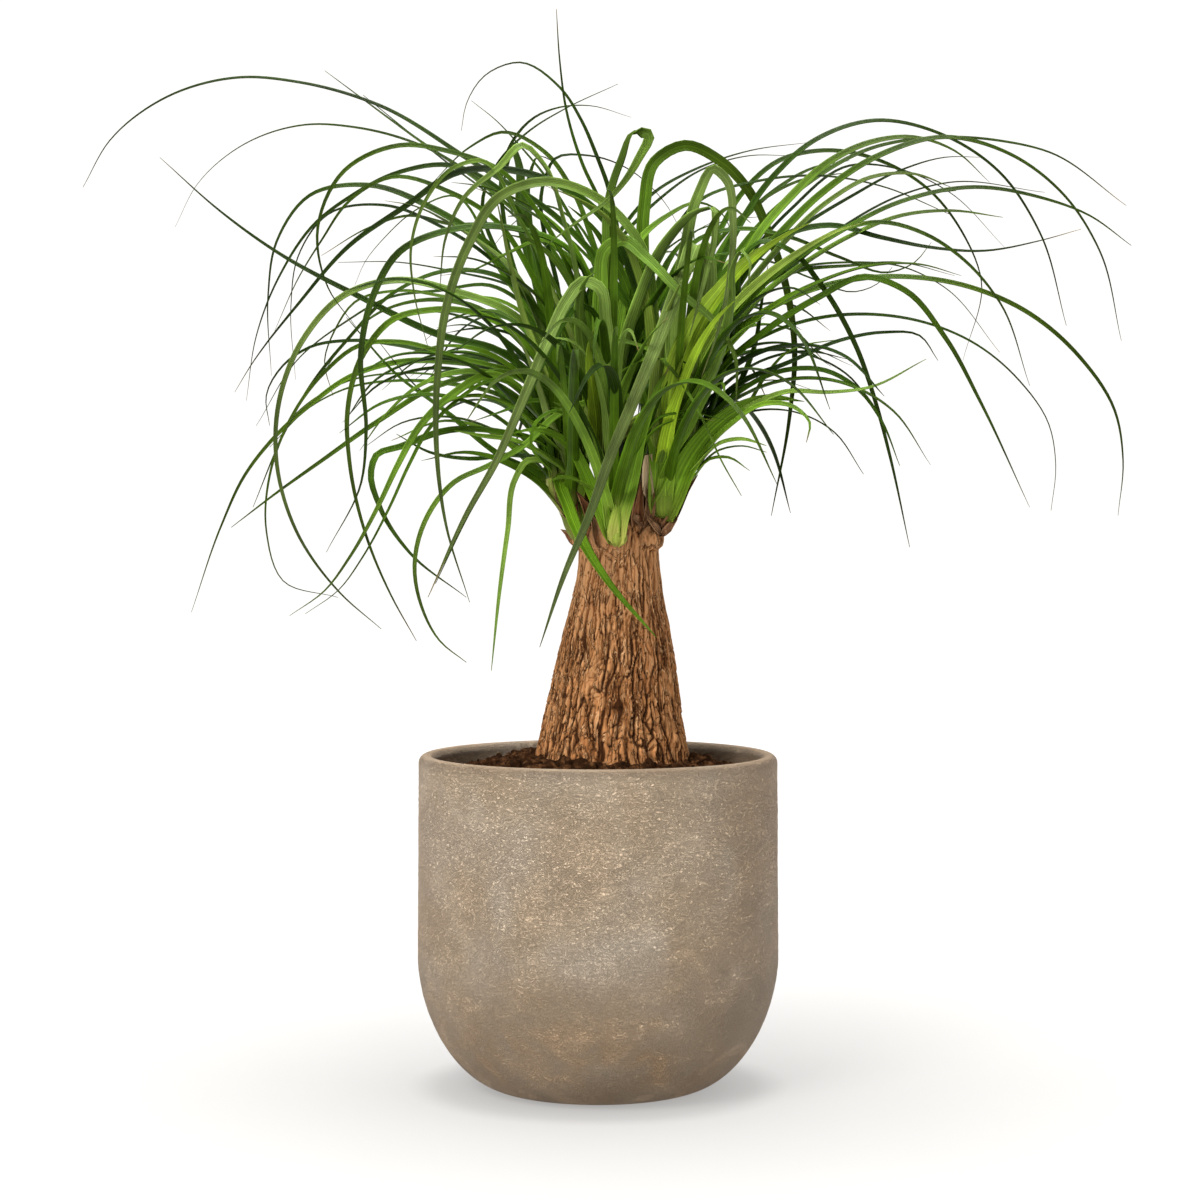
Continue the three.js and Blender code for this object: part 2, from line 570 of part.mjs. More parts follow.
// A smooth line through the points: cubic spans whose slopes are those of the parabola
// through each point and its two neighbours
function smoothLine(points, stepLength) {
  const gaps = points.slice(1).map((point, i) => point.distanceTo(points[i]));
  const rates = gaps.map((gap, i) => points[i + 1].clone().sub(points[i]).divideScalar(gap));
  const slopes = points.map((_, i) => {
    if (i === 0) return rates[0].clone();
    if (i === points.length - 1) return rates[i - 1].clone();
    return rates[i - 1].clone().multiplyScalar(gaps[i])
      .addScaledVector(rates[i], gaps[i - 1])
      .divideScalar(gaps[i - 1] + gaps[i]);
  });
  const line = [points[0].clone()];
  gaps.forEach((gap, i) => {
    const count = Math.max(1, Math.round(gap / stepLength));
    for (let step = 1; step <= count; step++) {
      const t = step / count;
      const point = new THREE.Vector3();
      point.addScaledVector(points[i], 2 * t ** 3 - 3 * t ** 2 + 1);
      point.addScaledVector(slopes[i], gap * (t ** 3 - 2 * t ** 2 + t));
      point.addScaledVector(points[i + 1], 3 * t ** 2 - 2 * t ** 3);
      point.addScaledVector(slopes[i + 1], gap * (t ** 3 - t ** 2));
      line.push(point);
    }
  });
  return line;
}

// Few points that keep a line within a tolerance of its true course. Points in its bends are
// pushed outwards by half the sagitta, so that its straights lie evenly on either side of it.
function thinned(line, tolerance) {
  const kept = [line[0]];
  const chord = new THREE.Line3();
  const foot = new THREE.Vector3();
  let from = 0;
  for (let to = 2; to < line.length; to++) {
    chord.set(line[from], line[to]);
    const strays = line.slice(from + 1, to).some((point) =>
      chord.closestPointToPoint(point, true, foot).distanceTo(point) > tolerance);
    if (strays) {
      from = to - 1;
      kept.push(line[from]);
    }
  }
  kept.push(line.at(-1));
  return kept.map((point, i) => {
    if (i === 0 || i === kept.length - 1) return point;
    const middle = kept[i - 1].clone().add(kept[i + 1]).multiplyScalar(0.5);
    return point.clone().addScaledVector(point.clone().sub(middle), 0.125);
  });
}

// Share of the full width along a leaf: broad where it clasps the core, then a long taper
function widthShare(share) {
  return (1 - Math.pow(share, 2.5)) * (1 + 0.35 * Math.exp(-share / 0.1));
}

// Sections of a blade along a line, flat above with a keel below, up to its pointed tip. The
// face looks up and out over the arch, and turns to the viewer by the share given.
function bladeSections(points, width, turn) {
  const line = thinned(smoothLine(points, 7), bladeTolerance);
  const heading = points.at(-1).clone().sub(points[0]).setZ(0).normalize();
  const sideways = up.clone().cross(heading);
  const runs = [0];
  for (let i = 1; i < line.length; i++) runs.push(runs[i - 1] + line[i].distanceTo(line[i - 1]));
  const sections = [];
  for (let i = 0; i + 1 < line.length; i++) {
    const along = line[i + 1].clone().sub(line[Math.max(i - 1, 0)]).normalize();
    const side = sideways.clone().addScaledVector(along, -along.dot(sideways)).normalize();
    const shown = toViewer.clone().addScaledVector(along, -along.dot(toViewer)).normalize();
    const face = along.clone().cross(side).multiplyScalar(1 - turn)
      .addScaledVector(shown, turn).normalize();
    side.crossVectors(face, along);
    const half = (width * widthShare(runs[i] / runs.at(-1))) / 2;
    sections.push({ middle: line[i], along, side, face, half, keel: 0.8 + 0.06 * width });
  }
  return { sections, tip: line.at(-1) };
}

// A point of a blade's section, so far sideways and so far towards its face
function sectionPoint({ middle, side, face }, across, out) {
  return middle.clone().addScaledVector(side, across).addScaledVector(face, out);
}

// Straights between rings of points, joined into one solid
function joinedSpans(rings) {
  return wasm.Manifold.union(rings.slice(1).map((ring, i) =>
    wasm.Manifold.hull([...rings[i], ...ring].map((point) => point.toArray()))));
}

function blade(points, width, turn) {
  const { sections, tip } = bladeSections(points, width, turn);
  const rings = sections.map((section) => [
    sectionPoint(section, -section.half, 0),
    sectionPoint(section, 0, -section.keel),
    sectionPoint(section, section.half, 0),
  ]);
  return joinedSpans([...rings, [tip]]);
}

// The room a blade needs: each of its straights with the clearance all round it
function bladeRoom(points, width, turn) {
  const { sections, tip } = bladeSections(points, width, turn);
  const rings = sections.map((section) => {
    const [half, keel] = [section.half + clearance, section.keel + clearance];
    return [
      sectionPoint(section, -half, clearance),
      sectionPoint(section, half, clearance),
      sectionPoint(section, -half, -clearance),
      sectionPoint(section, half, -clearance),
      sectionPoint(section, 0, -keel),
    ];
  });
  const { along } = sections[0];
  rings[0].forEach((point) => point.addScaledVector(along, -clearance));
  const last = sections.at(-1);
  const end = { ...last, middle: tip };
  rings.push([-clearance, clearance].flatMap((across) => [
    sectionPoint(end, across, clearance),
    sectionPoint(end, across, -clearance),
  ]).map((point) => point.addScaledVector(last.along, clearance)));
  return joinedSpans(rings);
}

// Leaves of a head besides those placed by hand, set round it in even steps, most of them to
// the front and the back of the plant. Those to the sides are short and upright.
function spiralLeaves(head, seed) {
  const draw = seededDraws(seed);
  const leaves = [];
  for (let i = 0; i < head.extra; i++) {
    const age = 1 - (i + 0.5) / head.extra;
    const side = 2 * ((i * goldenShare + 0.17 * seed) % 1) - 1;
    const around = THREE.MathUtils.degToRad(head.facing + head.spread * side);
    const azimuth = around + 0.5 * Math.sin(2 * around);
    const sideways = Math.cos(azimuth) ** 2;
    const climb = THREE.MathUtils.degToRad(76 - 36 * age * (1 - sideways) + 8 * (draw() - 0.5));
    leaves.push({
      azimuth,
      height: head.length * (0.85 - 0.7 * age),
      climb,
      bend: climb + THREE.MathUtils.degToRad(50 * draw() + 30 * age),
      length: (170 + 90 * age + 90 * draw()) * (1 - 0.4 * sideways),
      drift: THREE.MathUtils.degToRad(40 * (draw() - 0.5)),
      width: 7 + 4 * draw(),
      turn: 0.3 * draw(),
    });
  }
  return leaves;
}

// Pointed dry scales round the foot of a head, left by its first leaves
function dryScales(head, seed) {
  const draw = seededDraws(seed);
  const scales = [];
  for (let i = 0; i < head.scales; i++) {
    const { axis, out, point } = onCore(head, 0, i * goldenAngle * 1.55 + seed);
    const reach = 14 + 16 * draw();
    const along = (height, distance) => point.clone().addScaledVector(axis, height)
      .addScaledVector(out, head.radius + distance);
    scales.push(blade([
      along(-5, 0.5),
      along(5, 2.2),
      along(0.6 * reach, 3),
      along(reach, 5 + 4 * draw()),
    ], 9 + 3 * draw(), 0));
  }
  return scales;
}

function meets(solid, others) {
  const box = solid.boundingBox();
  return others.some((other) => {
    const near = other.box.min.every((low, i) => low <= box.max[i])
      && other.box.max.every((high, i) => high >= box.min[i]);
    return near && !solid.intersect(other.solid).isEmpty();
  });
}

function boxed(solid) {
  return { solid, box: solid.boundingBox() };
}

// Tries a leaf in place, then a little to either side, until it clears everything but its own
// head, and returns its solid and the room it needs
function fitLeaf(pointsAt, tries, width, turn, obstacles) {
  for (const shift of tries) {
    const points = pointsAt(shift);
    const room = bladeRoom(points, width, turn);
    if (!meets(room, obstacles)) return { solid: blade(points, width, turn), room };
  }
  return null;
}

function plant(potSolid) {
  const names = Object.keys(heads);
  const wood = wasm.Manifold.union([
    stemSkin(stemSides, 0, barkRelief),
    ...knobs.map(knob),
    ...names.map((name) => stemArm(heads[name])),
  ]);
  const grown = {};
  for (const name of names) {
    grown[name] = {
      solids: [headCore(heads[name], 0)],
      rooms: [headCore(heads[name], clearance)],
    };
  }
  const fixed = [boxed(wood), boxed(potSolid)];
  const obstaclesOf = (name) => [
    ...fixed,
    ...names.filter((other) => other !== name).flatMap((other) => grown[other].solids.map(boxed)),
  ];
  const keep = (name, fitted) => {
    if (!fitted) return;
    grown[name].solids.push(fitted.solid);
    grown[name].rooms.push(fitted.room);
  };
  for (const name of names) {
    for (const leaf of placedLeaves[name]) {
      const pointsAt = (shift) => placedPoints(heads[name], leaf, shift);
      keep(name, fitLeaf(pointsAt, depthTries, leaf[0], leaf[1], obstaclesOf(name)));
    }
  }
  names.forEach((name, order) => {
    for (const leaf of spiralLeaves(heads[name], order + 1)) {
      const pointsAt = (shift) => spiralPoints(heads[name], leaf, shift);
      keep(name, fitLeaf(pointsAt, angleTries, leaf.width, leaf.turn, obstaclesOf(name)));
    }
  });
  const scales = names.flatMap((name, order) => dryScales(heads[name], order + 1));
  for (const [width, points] of husks) {
    scales.push(blade(points.map((point) => new THREE.Vector3(...point)), width, 0.6));
  }
  scales.push(bar(stump.foot, stump.tip, stump.radius, 1.2, 10));
  const rooms = wasm.Manifold.union(names.flatMap((name) => grown[name].rooms));
  const stem = mainBody(wasm.Manifold.union([wood, ...scales]).subtract(rooms));
  const headSolids = names.map((name) => [name, wasm.Manifold.union(grown[name].solids)]);
  return { stem, headSolids };
}

const potSolid = pot();
const soilSolid = mainBody(soil());
const { stem, headSolids } = plant(potSolid);

const ponytailPalm = new THREE.Group();
ponytailPalm.add(
  toMesh("pot", potSolid, potMaterial),
  toMesh("soil", soilSolid, soilMaterial),
  toMesh("trunk", stem, stemMaterial),
  ...headSolids.map(([name, solid]) => toMesh(name, mainBody(solid), leafMaterial)),
);

export default ponytailPalm;
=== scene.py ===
"""The looks of a potted ponytail palm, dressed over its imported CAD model.

Lengths in this file are millimetres until a mesh is made, apart from those in materials and
lamps, which are metres. The frame is the CAD model's: the origin is the centre of the pot's foot,
+Z is up and -Y faces the viewer.
"""

import bmesh
import bpy
import numpy as np
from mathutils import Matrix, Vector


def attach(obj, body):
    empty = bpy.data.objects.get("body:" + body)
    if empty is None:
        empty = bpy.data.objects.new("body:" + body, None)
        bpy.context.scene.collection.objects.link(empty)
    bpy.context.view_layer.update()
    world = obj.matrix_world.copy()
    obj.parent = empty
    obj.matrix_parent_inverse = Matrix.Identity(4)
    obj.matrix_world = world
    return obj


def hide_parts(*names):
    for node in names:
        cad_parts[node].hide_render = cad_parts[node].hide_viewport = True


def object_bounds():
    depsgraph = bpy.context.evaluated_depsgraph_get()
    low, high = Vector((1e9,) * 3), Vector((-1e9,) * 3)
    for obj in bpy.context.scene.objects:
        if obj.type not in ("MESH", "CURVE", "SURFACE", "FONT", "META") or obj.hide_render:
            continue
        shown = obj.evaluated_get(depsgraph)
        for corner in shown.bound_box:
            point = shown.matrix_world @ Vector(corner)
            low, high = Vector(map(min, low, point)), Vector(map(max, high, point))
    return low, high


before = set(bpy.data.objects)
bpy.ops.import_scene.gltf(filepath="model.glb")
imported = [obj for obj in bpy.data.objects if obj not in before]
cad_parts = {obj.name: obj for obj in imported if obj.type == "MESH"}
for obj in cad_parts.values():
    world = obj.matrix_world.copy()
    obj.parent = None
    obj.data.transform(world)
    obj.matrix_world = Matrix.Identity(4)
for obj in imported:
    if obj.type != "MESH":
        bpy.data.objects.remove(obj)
cad_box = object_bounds()

MM = 0.001
UP = np.array([0.0, 0.0, 1.0])
TO_VIEWER = np.array([0.0, -1.0, 0.0])
FULL_TURN = 2 * np.pi

# The eye that the leaf routes are drawn for, which is also the camera's place
EYE_X = 1.2
EYE_Z = 344.4
EYE_DISTANCE = 1660.0
# The photo in its own pixels: its width, its horizon's row and the length of its lens
PHOTO_PIXELS = 1200
HORIZON_PIXELS = 510
LENS_PIXELS = 2766.7
SENSOR_WIDTH = 36

# Pot and soil, as in the CAD model
POT_HEIGHT = 198.3
POT_RADIUS = 108.0
POT_WALL = 9.7
POT_FLOOR = 12.0
FOOT_RADIUS = 57.0
LOWER_BEND_HEIGHT = 78.0
LOWER_BEND_POWER = 1.8
RIM_ROUND = 5.0
SOIL_AT_WALL = 182.0
SOIL_RISE = 27.0
CLEARANCE = 0.3

# Stem: height, mean radius and sideways place of its middle
STEM_STATIONS = np.array([
    [130, 22, 6.5], [139, 38, 6.5], [155, 47.5, 7], [175, 49, 7.5], [191, 46.8, 8.1],
    [203, 44.5, 8.5], [215, 42, 8.8], [227, 40, 9.4], [239, 37.8, 10], [251, 35.7, 10.5],
    [263, 33.2, 11], [274, 31, 11.5], [285, 28.2, 11.7], [295, 26.2, 12], [304, 24.6, 12.6],
    [312, 23.6, 12.6], [320, 23.2, 12.4], [328, 25, 12], [335, 23.5, 12],
])
STEM_TOP = 342.0
STEM_BOTTOM = 127.0
KNOBS = [(31.5, -12, 327, 7.5), (-12, -6, 327, 4.5), (22, 20, 318, 6)]
STUMP_FOOT = (26, -12, 326)
STUMP_TIP = (28.5, -15, 377)
STUMP_RADIUS = 6.5
# Husks: width, how pale, then x, y and z of the points that each runs through to its tip
HUSKS = [
    (7, 0, [37, -15, 331, 43, -19, 337, 48, -19, 346, 53, -17, 356, 59.5, -15, 365.5]),
    (6, 0.15, [38, -17, 330, 34, -22, 334, 30, -24, 339, 28, -23, 344]),
    (6, 0.1, [37, -18, 329, 42, -23, 333, 46, -23, 339, 48, -20, 344]),
    (8, 0, [24, -20, 331, 23.5, -25, 344, 25, -25, 355, 28, -23, 363]),
    (6.5, 0.15, [20, -18, 333, 20, -23, 346, 23, -25, 358, 27, -23, 369]),
    (6.5, 0.1, [29, -17, 334, 31, -22, 347, 30.5, -22.5, 359, 29, -22, 371]),
    (7, 0.2, [28, -19, 335, 23, -24, 339, 17, -25, 343]),
    (7, 0.1, [22, -19, 329, 27, -24, 335, 33, -22, 339]),
    (7, 1, [30, -22, 350, 29.5, -25, 361, 28.5, -26, 370, 28.5, -27, 376, 31.5, -27, 377, 32, -27,
      373]),
    (7, 0.3, [-17, -14, 338, -22, -17, 347, -25, -18, 355, -27, -18, 361]),
    (9, 0, [-3, -19, 334, -6, -24, 343, -10, -25, 351, -13, -24, 356]),
    (9, 0.1, [1, -21, 322, -1, -25, 331, -3, -26.5, 339, -6, -26, 346]),
    (8, 0, [-9, -16, 326, -13, -21, 335, -14, -22, 343, -12, -22, 349]),
]
# Sheaths: the broad feet of leaves that wrap the two heads seen best, in the same form
SHEATHS = {
    "head_front": [
        (8, 0, [10.8, -28.5, 323.4, 6.4, -33, 332, 2.8, -36, 341, -0.6, -38, 350, -4.8, -40, 359,
          -9, -43, 369, -15, -47, 380, -25, -51, 388, -38, -55, 391, -52, -58, 388]),
        (7, 0.1, [10.4, -30, 326, 9, -35, 340, 9, -37, 356, 13, -39, 369, 20, -41, 384, 26, -44,
          397, 29, -48, 410]),
        (7.5, 0, [8, -30, 329, 6.5, -35, 346, 4, -38, 360, 0, -41, 376, -6, -45, 391, -15, -50, 402,
          -26, -55, 407]),
        (9.5, 1, [11.2, -30, 322.6, 11.6, -35, 331, 14, -38, 343, 18, -39, 356, 21.6, -39, 371, 25,
          -40, 386, 30, -43, 401, 35, -48, 416, 42, -54, 428]),
    ],
    "head_right": [
        (9, 0, [38, -16, 342, 39.5, -22, 356, 41.4, -23, 371, 42, -24, 386, 43, -25, 401, 47, -27,
          418, 53, -30, 436]),
        (9.5, 0, [36, -16, 341, 34.5, -23, 353, 34.6, -24, 365, 34, -25, 377, 31, -26, 392, 28, -28,
          408, 24, -31, 424]),
        (14, 0, [39, -17, 339, 41, -23, 346, 45, -25, 354, 49, -26, 364, 54, -27, 374, 61, -28, 384,
          70, -29, 394, 84, -31, 404, 101, -34, 410, 121, -38, 408]),
    ],
}
# Swollen feet of the same two heads: place, half sizes and how pale
BULBS = {
    "head_front": ([11.8, -28, 328.6], [5.6, 5.2, 5.8], 0.35),
    "head_right": ([39.5, -15, 349.5], [9.3, 8.5, 10], 0.0),
}
GOLDEN_ANGLE = np.radians(137.5)
GOLDEN_SHARE = 0.618

# Heads, as in the CAD model: the core's foot on its arm, the way it leans, its radius and
# length, where the arm starts in the stem, the azimuth that its leaves spread round and how far
# to either side, and how many leaves are set by rule and how many dry scales
HEADS = {
    "head_front": dict(
        base=[10, -24, 331], lean=[-0.05, -0.18, 1], radius=7, length=30, foot=[11, -14, 318],
        facing=270, spread=65, extra=6, scales=2),
    "head_right": dict(
        base=[35, -5, 343], lean=[0.42, -0.06, 1], radius=9, length=48, foot=[22, -2, 322],
        facing=-10, spread=120, extra=7, scales=3),
    "head_left": dict(
        base=[-8, -8, 331], lean=[-0.55, -0.12, 1], radius=8, length=44, foot=[5, -3, 320],
        facing=190, spread=110, extra=8, scales=2),
    "head_centre": dict(
        base=[9, 4, 349], lean=[-0.06, 0, 1], radius=9.5, length=58, foot=[11, 3, 328],
        facing=90, spread=180, extra=12, scales=2),
    "head_back_left": dict(
        base=[-5, 25, 344], lean=[-0.3, 0.32, 1], radius=9.5, length=50, foot=[4, 14, 322],
        facing=130, spread=75, extra=10, scales=2),
    "head_back_right": dict(
        base=[28, 25, 343], lean=[0.26, 0.36, 1], radius=9.5, length=50, foot=[20, 13, 322],
        facing=50, spread=75, extra=10, scales=2),
}
CORE_SINK = 8

# Leaves placed one by one, as in the CAD model: width, how far the blade turns its face to the
# viewer, depth of the tip, and the points that the eye sees it pass, as x, z pairs
PLACED_LEAVES = {
    "head_front": [
        [7.5, 0.2, -130, [6, 398, 4, 458, 0, 478, -9, 481, -17, 472, -29, 448, -47, 406, -61, 374,
          -80, 340, -102, 292]],
        [4.5, 0.4, -50, [25, 371, 34, 403, 42, 422, 50, 434, 60, 418]],
        [5, 0.4, -60, [25, 383, 37, 400, 52, 403, 78, 398]],
        [5.5, 0.4, -75, [3, 362, -9, 391, -25, 404, -37, 397, -40, 383, -29, 368]],
        [5, 0.4, -45, [20, 362, 30, 392, 47, 443]],
        [7, 0.3, -50, [0, 362, -5, 386, -14, 410, -32, 434]],
    ],
    "head_left": [
        [5, 0.5, 10, [-32, 362, -59, 377, -95, 406, -119, 424, -151, 460]],
        [6, 0.5, -90, [-23, 398, -53, 452, -77, 463, -101, 464, -122, 459, -140, 439, -150, 404,
          -149, 374, -139, 329, -124, 293, -109, 266]],
        [5.5, 0.5, -20, [-29, 452, -59, 484, -89, 488, -122, 475, -149, 448, -173, 418, -189, 389,
          -207, 346]],
        [7.5, 0.5, -70, [-23, 410, -47, 458, -89, 476, -119, 482, -152, 473, -177, 446, -191, 410,
          -193, 377, -181, 332, -155, 295, -130, 273]],
        [7, 0.5, -40, [-23, 398, -59, 439, -95, 449, -143, 472, -191, 498, -227, 524, -263, 556]],
        [6.5, 0.5, -60, [-26, 398, -47, 424, -95, 419, -131, 398, -167, 373, -191, 356, -220, 334]],
        [7, 0.5, -100, [-29, 392, -65, 425, -89, 412, -107, 394, -119, 373, -132, 346, -149, 316,
          -164, 296, -185, 281]],
        [6.5, 0.4, -85, [-32, 383, -59, 391, -89, 392, -119, 382, -133, 377, -136, 368, -131, 347,
          -113, 319, -79, 292]],
        [5.5, 0.5, 0, [-23, 368, -47, 377, -77, 375, -101, 379, -121, 390]],
        [4.5, 0.5, -70, [-32, 373, -42, 374, -49, 364, -54, 332, -59, 296, -64, 248]],
        [4, 0.5, 90, [-35, 440, -56, 515, -57, 551, -51, 566, -38, 580, -23, 586, -5, 587, 20,
          580]],
        [3.5, 0.5, 60, [-23, 470, -32, 542, -26, 555, -5, 557, 20, 548, 40, 529, 53, 505]],
        [4.5, 0.5, 70, [-14, 452, 13, 506, 37, 531, 61, 548, 91, 557, 115, 557]],
        [5.5, 0.4, -60, [-35, 410, -59, 403, -77, 397]],
        [8, 0.4, -40, [-21, 343, -35, 360, -52, 371, -80, 379, -106, 374]],
        [7, 0.4, 20, [-20, 346, -38, 369, -62, 390, -92, 398, -124, 386]],
        [8.5, 0.2, -110, [-15, 361, -22, 363, -18, 347, -9, 325, 4, 304, 35, 268]],
        [4.5, 0.5, -30, [-23, 410, -89, 437, -119, 445, -143, 443, -164, 427, -185, 398, -197, 365,
          -199, 332, -189, 302, -156, 292]],
    ],
    "head_back_left": [
        [7, 0.5, 60, [-23, 422, -35, 452, -59, 496, -101, 526, -137, 539, -173, 533, -193, 505,
          -198, 473, -196, 425]],
        [5.5, 0.5, 60, [-29, 470, -59, 536, -89, 551, -119, 547, -149, 532, -169, 517, -191, 485,
          -205, 449, -211, 410]],
        [12, 0.1, 130, [-17, 410, -32, 470, -46, 521, -48, 554, -50, 560, -59, 530]],
        [4, 0.5, 40, [-29, 446, -59, 470, -89, 472, -119, 476, -146, 469, -158, 452, -164, 434,
          -159, 413]],
        [5, 0.5, 50, [-29, 416, -59, 433, -89, 436, -119, 443, -149, 446, -173, 442, -189, 431,
          -199, 413, -197, 395]],
        [5.5, 0.5, 20, [-29, 410, -59, 428, -89, 433, -119, 433, -149, 424, -173, 407, -193, 389,
          -212, 365, -226, 335, -244, 283]],
        [4, 0.5, 90, [-59, 413, -89, 420, -119, 422, -149, 418, -173, 406, -197, 382]],
        [4, 0.5, 80, [-35, 458, -65, 479, -95, 476, -125, 472, -152, 457, -179, 436, -205, 395]],
        [3, 0.5, 110, [-47, 476, -89, 488, -119, 493, -156, 493]],
        [3.5, 0.5, 110, [-47, 470, -68, 536, -59, 554, -41, 572, -20, 585, 12, 600]],
        [4, 0.5, 110, [-5, 470, 10, 506, 34, 535, 61, 550, 91, 560, 127, 565]],
    ],
    "head_centre": [
        [5, 0.5, 70, [-5, 440, -23, 493, -71, 541, -107, 566, -164, 608]],
        [6, 0.5, -40, [-11, 470, -35, 521, -59, 548, -88, 559, -119, 563, -152, 548, -168, 514,
          -162, 478, -145, 454]],
        [5, 0.5, 10, [-35, 476, -65, 521, -89, 535, -124, 544, -149, 530, -166, 506, -179, 485,
          -194, 452]],
        [7.5, 0.45, -60, [1, 452, -17, 500, -59, 514, -89, 512, -119, 499, -135, 472, -142, 440,
          -139, 392, -142, 361, -163, 319]],
        [6.5, 0.3, -70, [-8, 440, -14, 493, -21, 521, -32, 551, -45, 563, -59, 550, -80, 532, -91,
          509, -95, 476]],
        [3.5, 0.6, 20, [4, 470, 1, 529, -9, 551, -19, 584, -23, 614, -25, 645]],
        [3.5, 0.5, 90, [1, 482, -17, 521, -32, 545, -47, 563, -61, 578, -76, 590]],
        [3, 0.5, 60, [-59, 488, -89, 533, -110, 524, -128, 508, -140, 493, -146, 479]],
        [4.5, 0.5, -90, [-47, 518, -71, 554, -86, 550, -104, 529, -112, 503, -110, 473, -102, 442]],
        [6.5, 0.2, -80, [2, 470, 4, 500, 5, 527, 13, 554, 22, 571, 30, 570, 24, 554, 8, 532, -17,
          514, -35, 500]],
        [7.5, 0.2, -90, [25, 470, 42, 506, 61, 524, 68, 526, 70, 511, 65, 487, 55, 449]],
        [4, 0.5, 50, [37, 494, 61, 530, 97, 542, 133, 545, 169, 539, 213, 521]],
        [5.5, 0.5, -30, [37, 470, 61, 507, 85, 513, 115, 508, 145, 496, 175, 487, 190, 493, 200,
          505]],
        [9, 0.3, -20, [1, 392, -4, 440, -5, 478]],
        [8, 0.25, -100, [6, 410, 2, 476, 6, 502, 14, 506, 28, 496, 49, 475, 70, 457, 82, 437, 83,
          409]],
        [3.5, 0.5, -100, [7, 446, 25, 443, 43, 430, 55, 413, 65, 394, 73, 376, 86, 353]],
    ],
    "head_right": [
        [6, 0.45, 30, [20, 464, -23, 518, -77, 554, -131, 587, -179, 601, -215, 604, -263, 590,
          -293, 566, -309, 538]],
        [8, 0.5, -20, [25, 470, 1, 521, -47, 547, -83, 547, -116, 526, -149, 503, -179, 469, -209,
          430, -218, 415]],
        [6, 0.5, -110, [25, 410, 1, 410, -23, 402, -44, 383, -65, 371, -86, 361, -104, 337, -110,
          311, -106, 287, -95, 266, -79, 253]],
        [8, 0.35, -120, [34, 452, 25, 503, 1, 530, -33, 541, -59, 532, -77, 505, -90, 470, -96, 428,
          -97, 386, -91, 335, -77, 289]],
        [7, 0.4, -60, [70, 410, 84, 470, 88, 497, 97, 505, 115, 500, 133, 480, 153, 446, 167, 407,
          175, 377, 187, 322]],
        [7.5, 0.15, -110, [44, 452, 52, 500, 60, 533, 70, 549, 76, 544, 81, 518, 79, 485, 72, 452,
          62, 424]],
        [9, 0.15, -140, [55, 446, 64, 493, 60, 505, 53, 488, 37, 446, 22, 410, 8, 377, -5, 341, -20,
          306, -35, 262]],
        [6.5, 0.5, 50, [61, 452, 82, 509, 106, 545, 130, 566, 166, 578, 208, 569, 241, 547, 265,
          511, 281, 455]],
        [7.5, 0.5, -30, [73, 470, 106, 506, 133, 533, 169, 557, 208, 568, 247, 558, 280, 533, 301,
          500, 314, 446]],
        [7, 0.5, -70, [73, 452, 109, 487, 145, 511, 181, 529, 226, 538, 265, 532, 295, 521, 320,
          503]],
        [6.5, 0.5, -50, [79, 470, 112, 509, 139, 515, 169, 508, 199, 502, 232, 500, 265, 506, 290,
          513]],
        [5, 0.5, -90, [82, 458, 115, 493, 145, 512, 169, 517, 196, 510, 220, 494, 241, 469, 259,
          419]],
        [6.5, 0.5, -40, [64, 410, 82, 449, 115, 471, 151, 482, 187, 484, 223, 478, 259, 462, 289,
          436, 310, 404, 315, 374, 312, 341]],
        [6.5, 0.5, -85, [55, 392, 73, 427, 100, 451, 133, 472, 160, 484, 184, 476, 208, 448, 229,
          410, 259, 346]],
        [6, 0.5, -20, [61, 392, 82, 418, 115, 433, 145, 446, 172, 451, 193, 449, 204, 434]],
        [6, 0.5, -60, [55, 380, 82, 413, 112, 428, 136, 428, 157, 416, 170, 398, 181, 371]],
        [6.5, 0.5, -80, [67, 388, 91, 406, 112, 415, 139, 415, 163, 418, 197, 435]],
        [7, 0.5, -95, [61, 377, 79, 395, 100, 408, 118, 406, 127, 397, 125, 385]],
        [7, 0.4, -70, [58, 370, 72, 384, 86, 387, 101, 383]],
        [4, 0.4, -55, [55, 362, 67, 375, 78, 376, 91, 368]],
        [3.5, 0.5, 0, [61, 380, 88, 404, 100, 424, 112, 438, 151, 448]],
        [7, 0.5, 10, [64, 380, 82, 413, 95, 446, 98, 467, 102, 491]],
        [10, 0.2, 20, [46, 398, 55, 434, 66, 460, 82, 493]],
    ],
    "head_back_right": [
        [6.5, 0.5, 60, [19, 452, 1, 493, -16, 537, -32, 559, -58, 571, -77, 562, -101, 539]],
        [5, 0.5, 50, [16, 470, 5, 541, -1, 557, -10, 578, -23, 598, -47, 613, -68, 605, -79, 588,
          -82, 572]],
        [7.5, 0.35, 40, [31, 440, 27, 494, 28, 527, 34, 553, 52, 563, 73, 554, 91, 535, 103, 509,
          112, 482, 118, 440, 115, 401, 104, 341]],
        [6, 0.5, 90, [70, 476, 100, 518, 127, 541, 163, 561, 205, 568, 241, 566, 271, 559, 317,
          527]],
        [3.5, 0.5, 120, [91, 464, 121, 494, 151, 517, 181, 533, 211, 541, 268, 535]],
        [3, 0.5, 140, [115, 524, 151, 551, 184, 548, 211, 535, 244, 502]],
        [4.5, 0.5, 70, [88, 493, 121, 514, 151, 532, 181, 548, 208, 556, 232, 556]],
        [5.5, 0.5, 110, [91, 476, 121, 488, 151, 491, 181, 493, 214, 485]],
        [3, 0.5, 130, [121, 490, 151, 493, 184, 490, 208, 478, 241, 439]],
        [7.5, 0.2, 60, [37, 410, 34, 452, 25, 479, 14, 500]],
        [5.5, 0.5, 120, [-23, 500, -59, 515, -89, 516, -113, 521, -137, 514, -166, 497]],
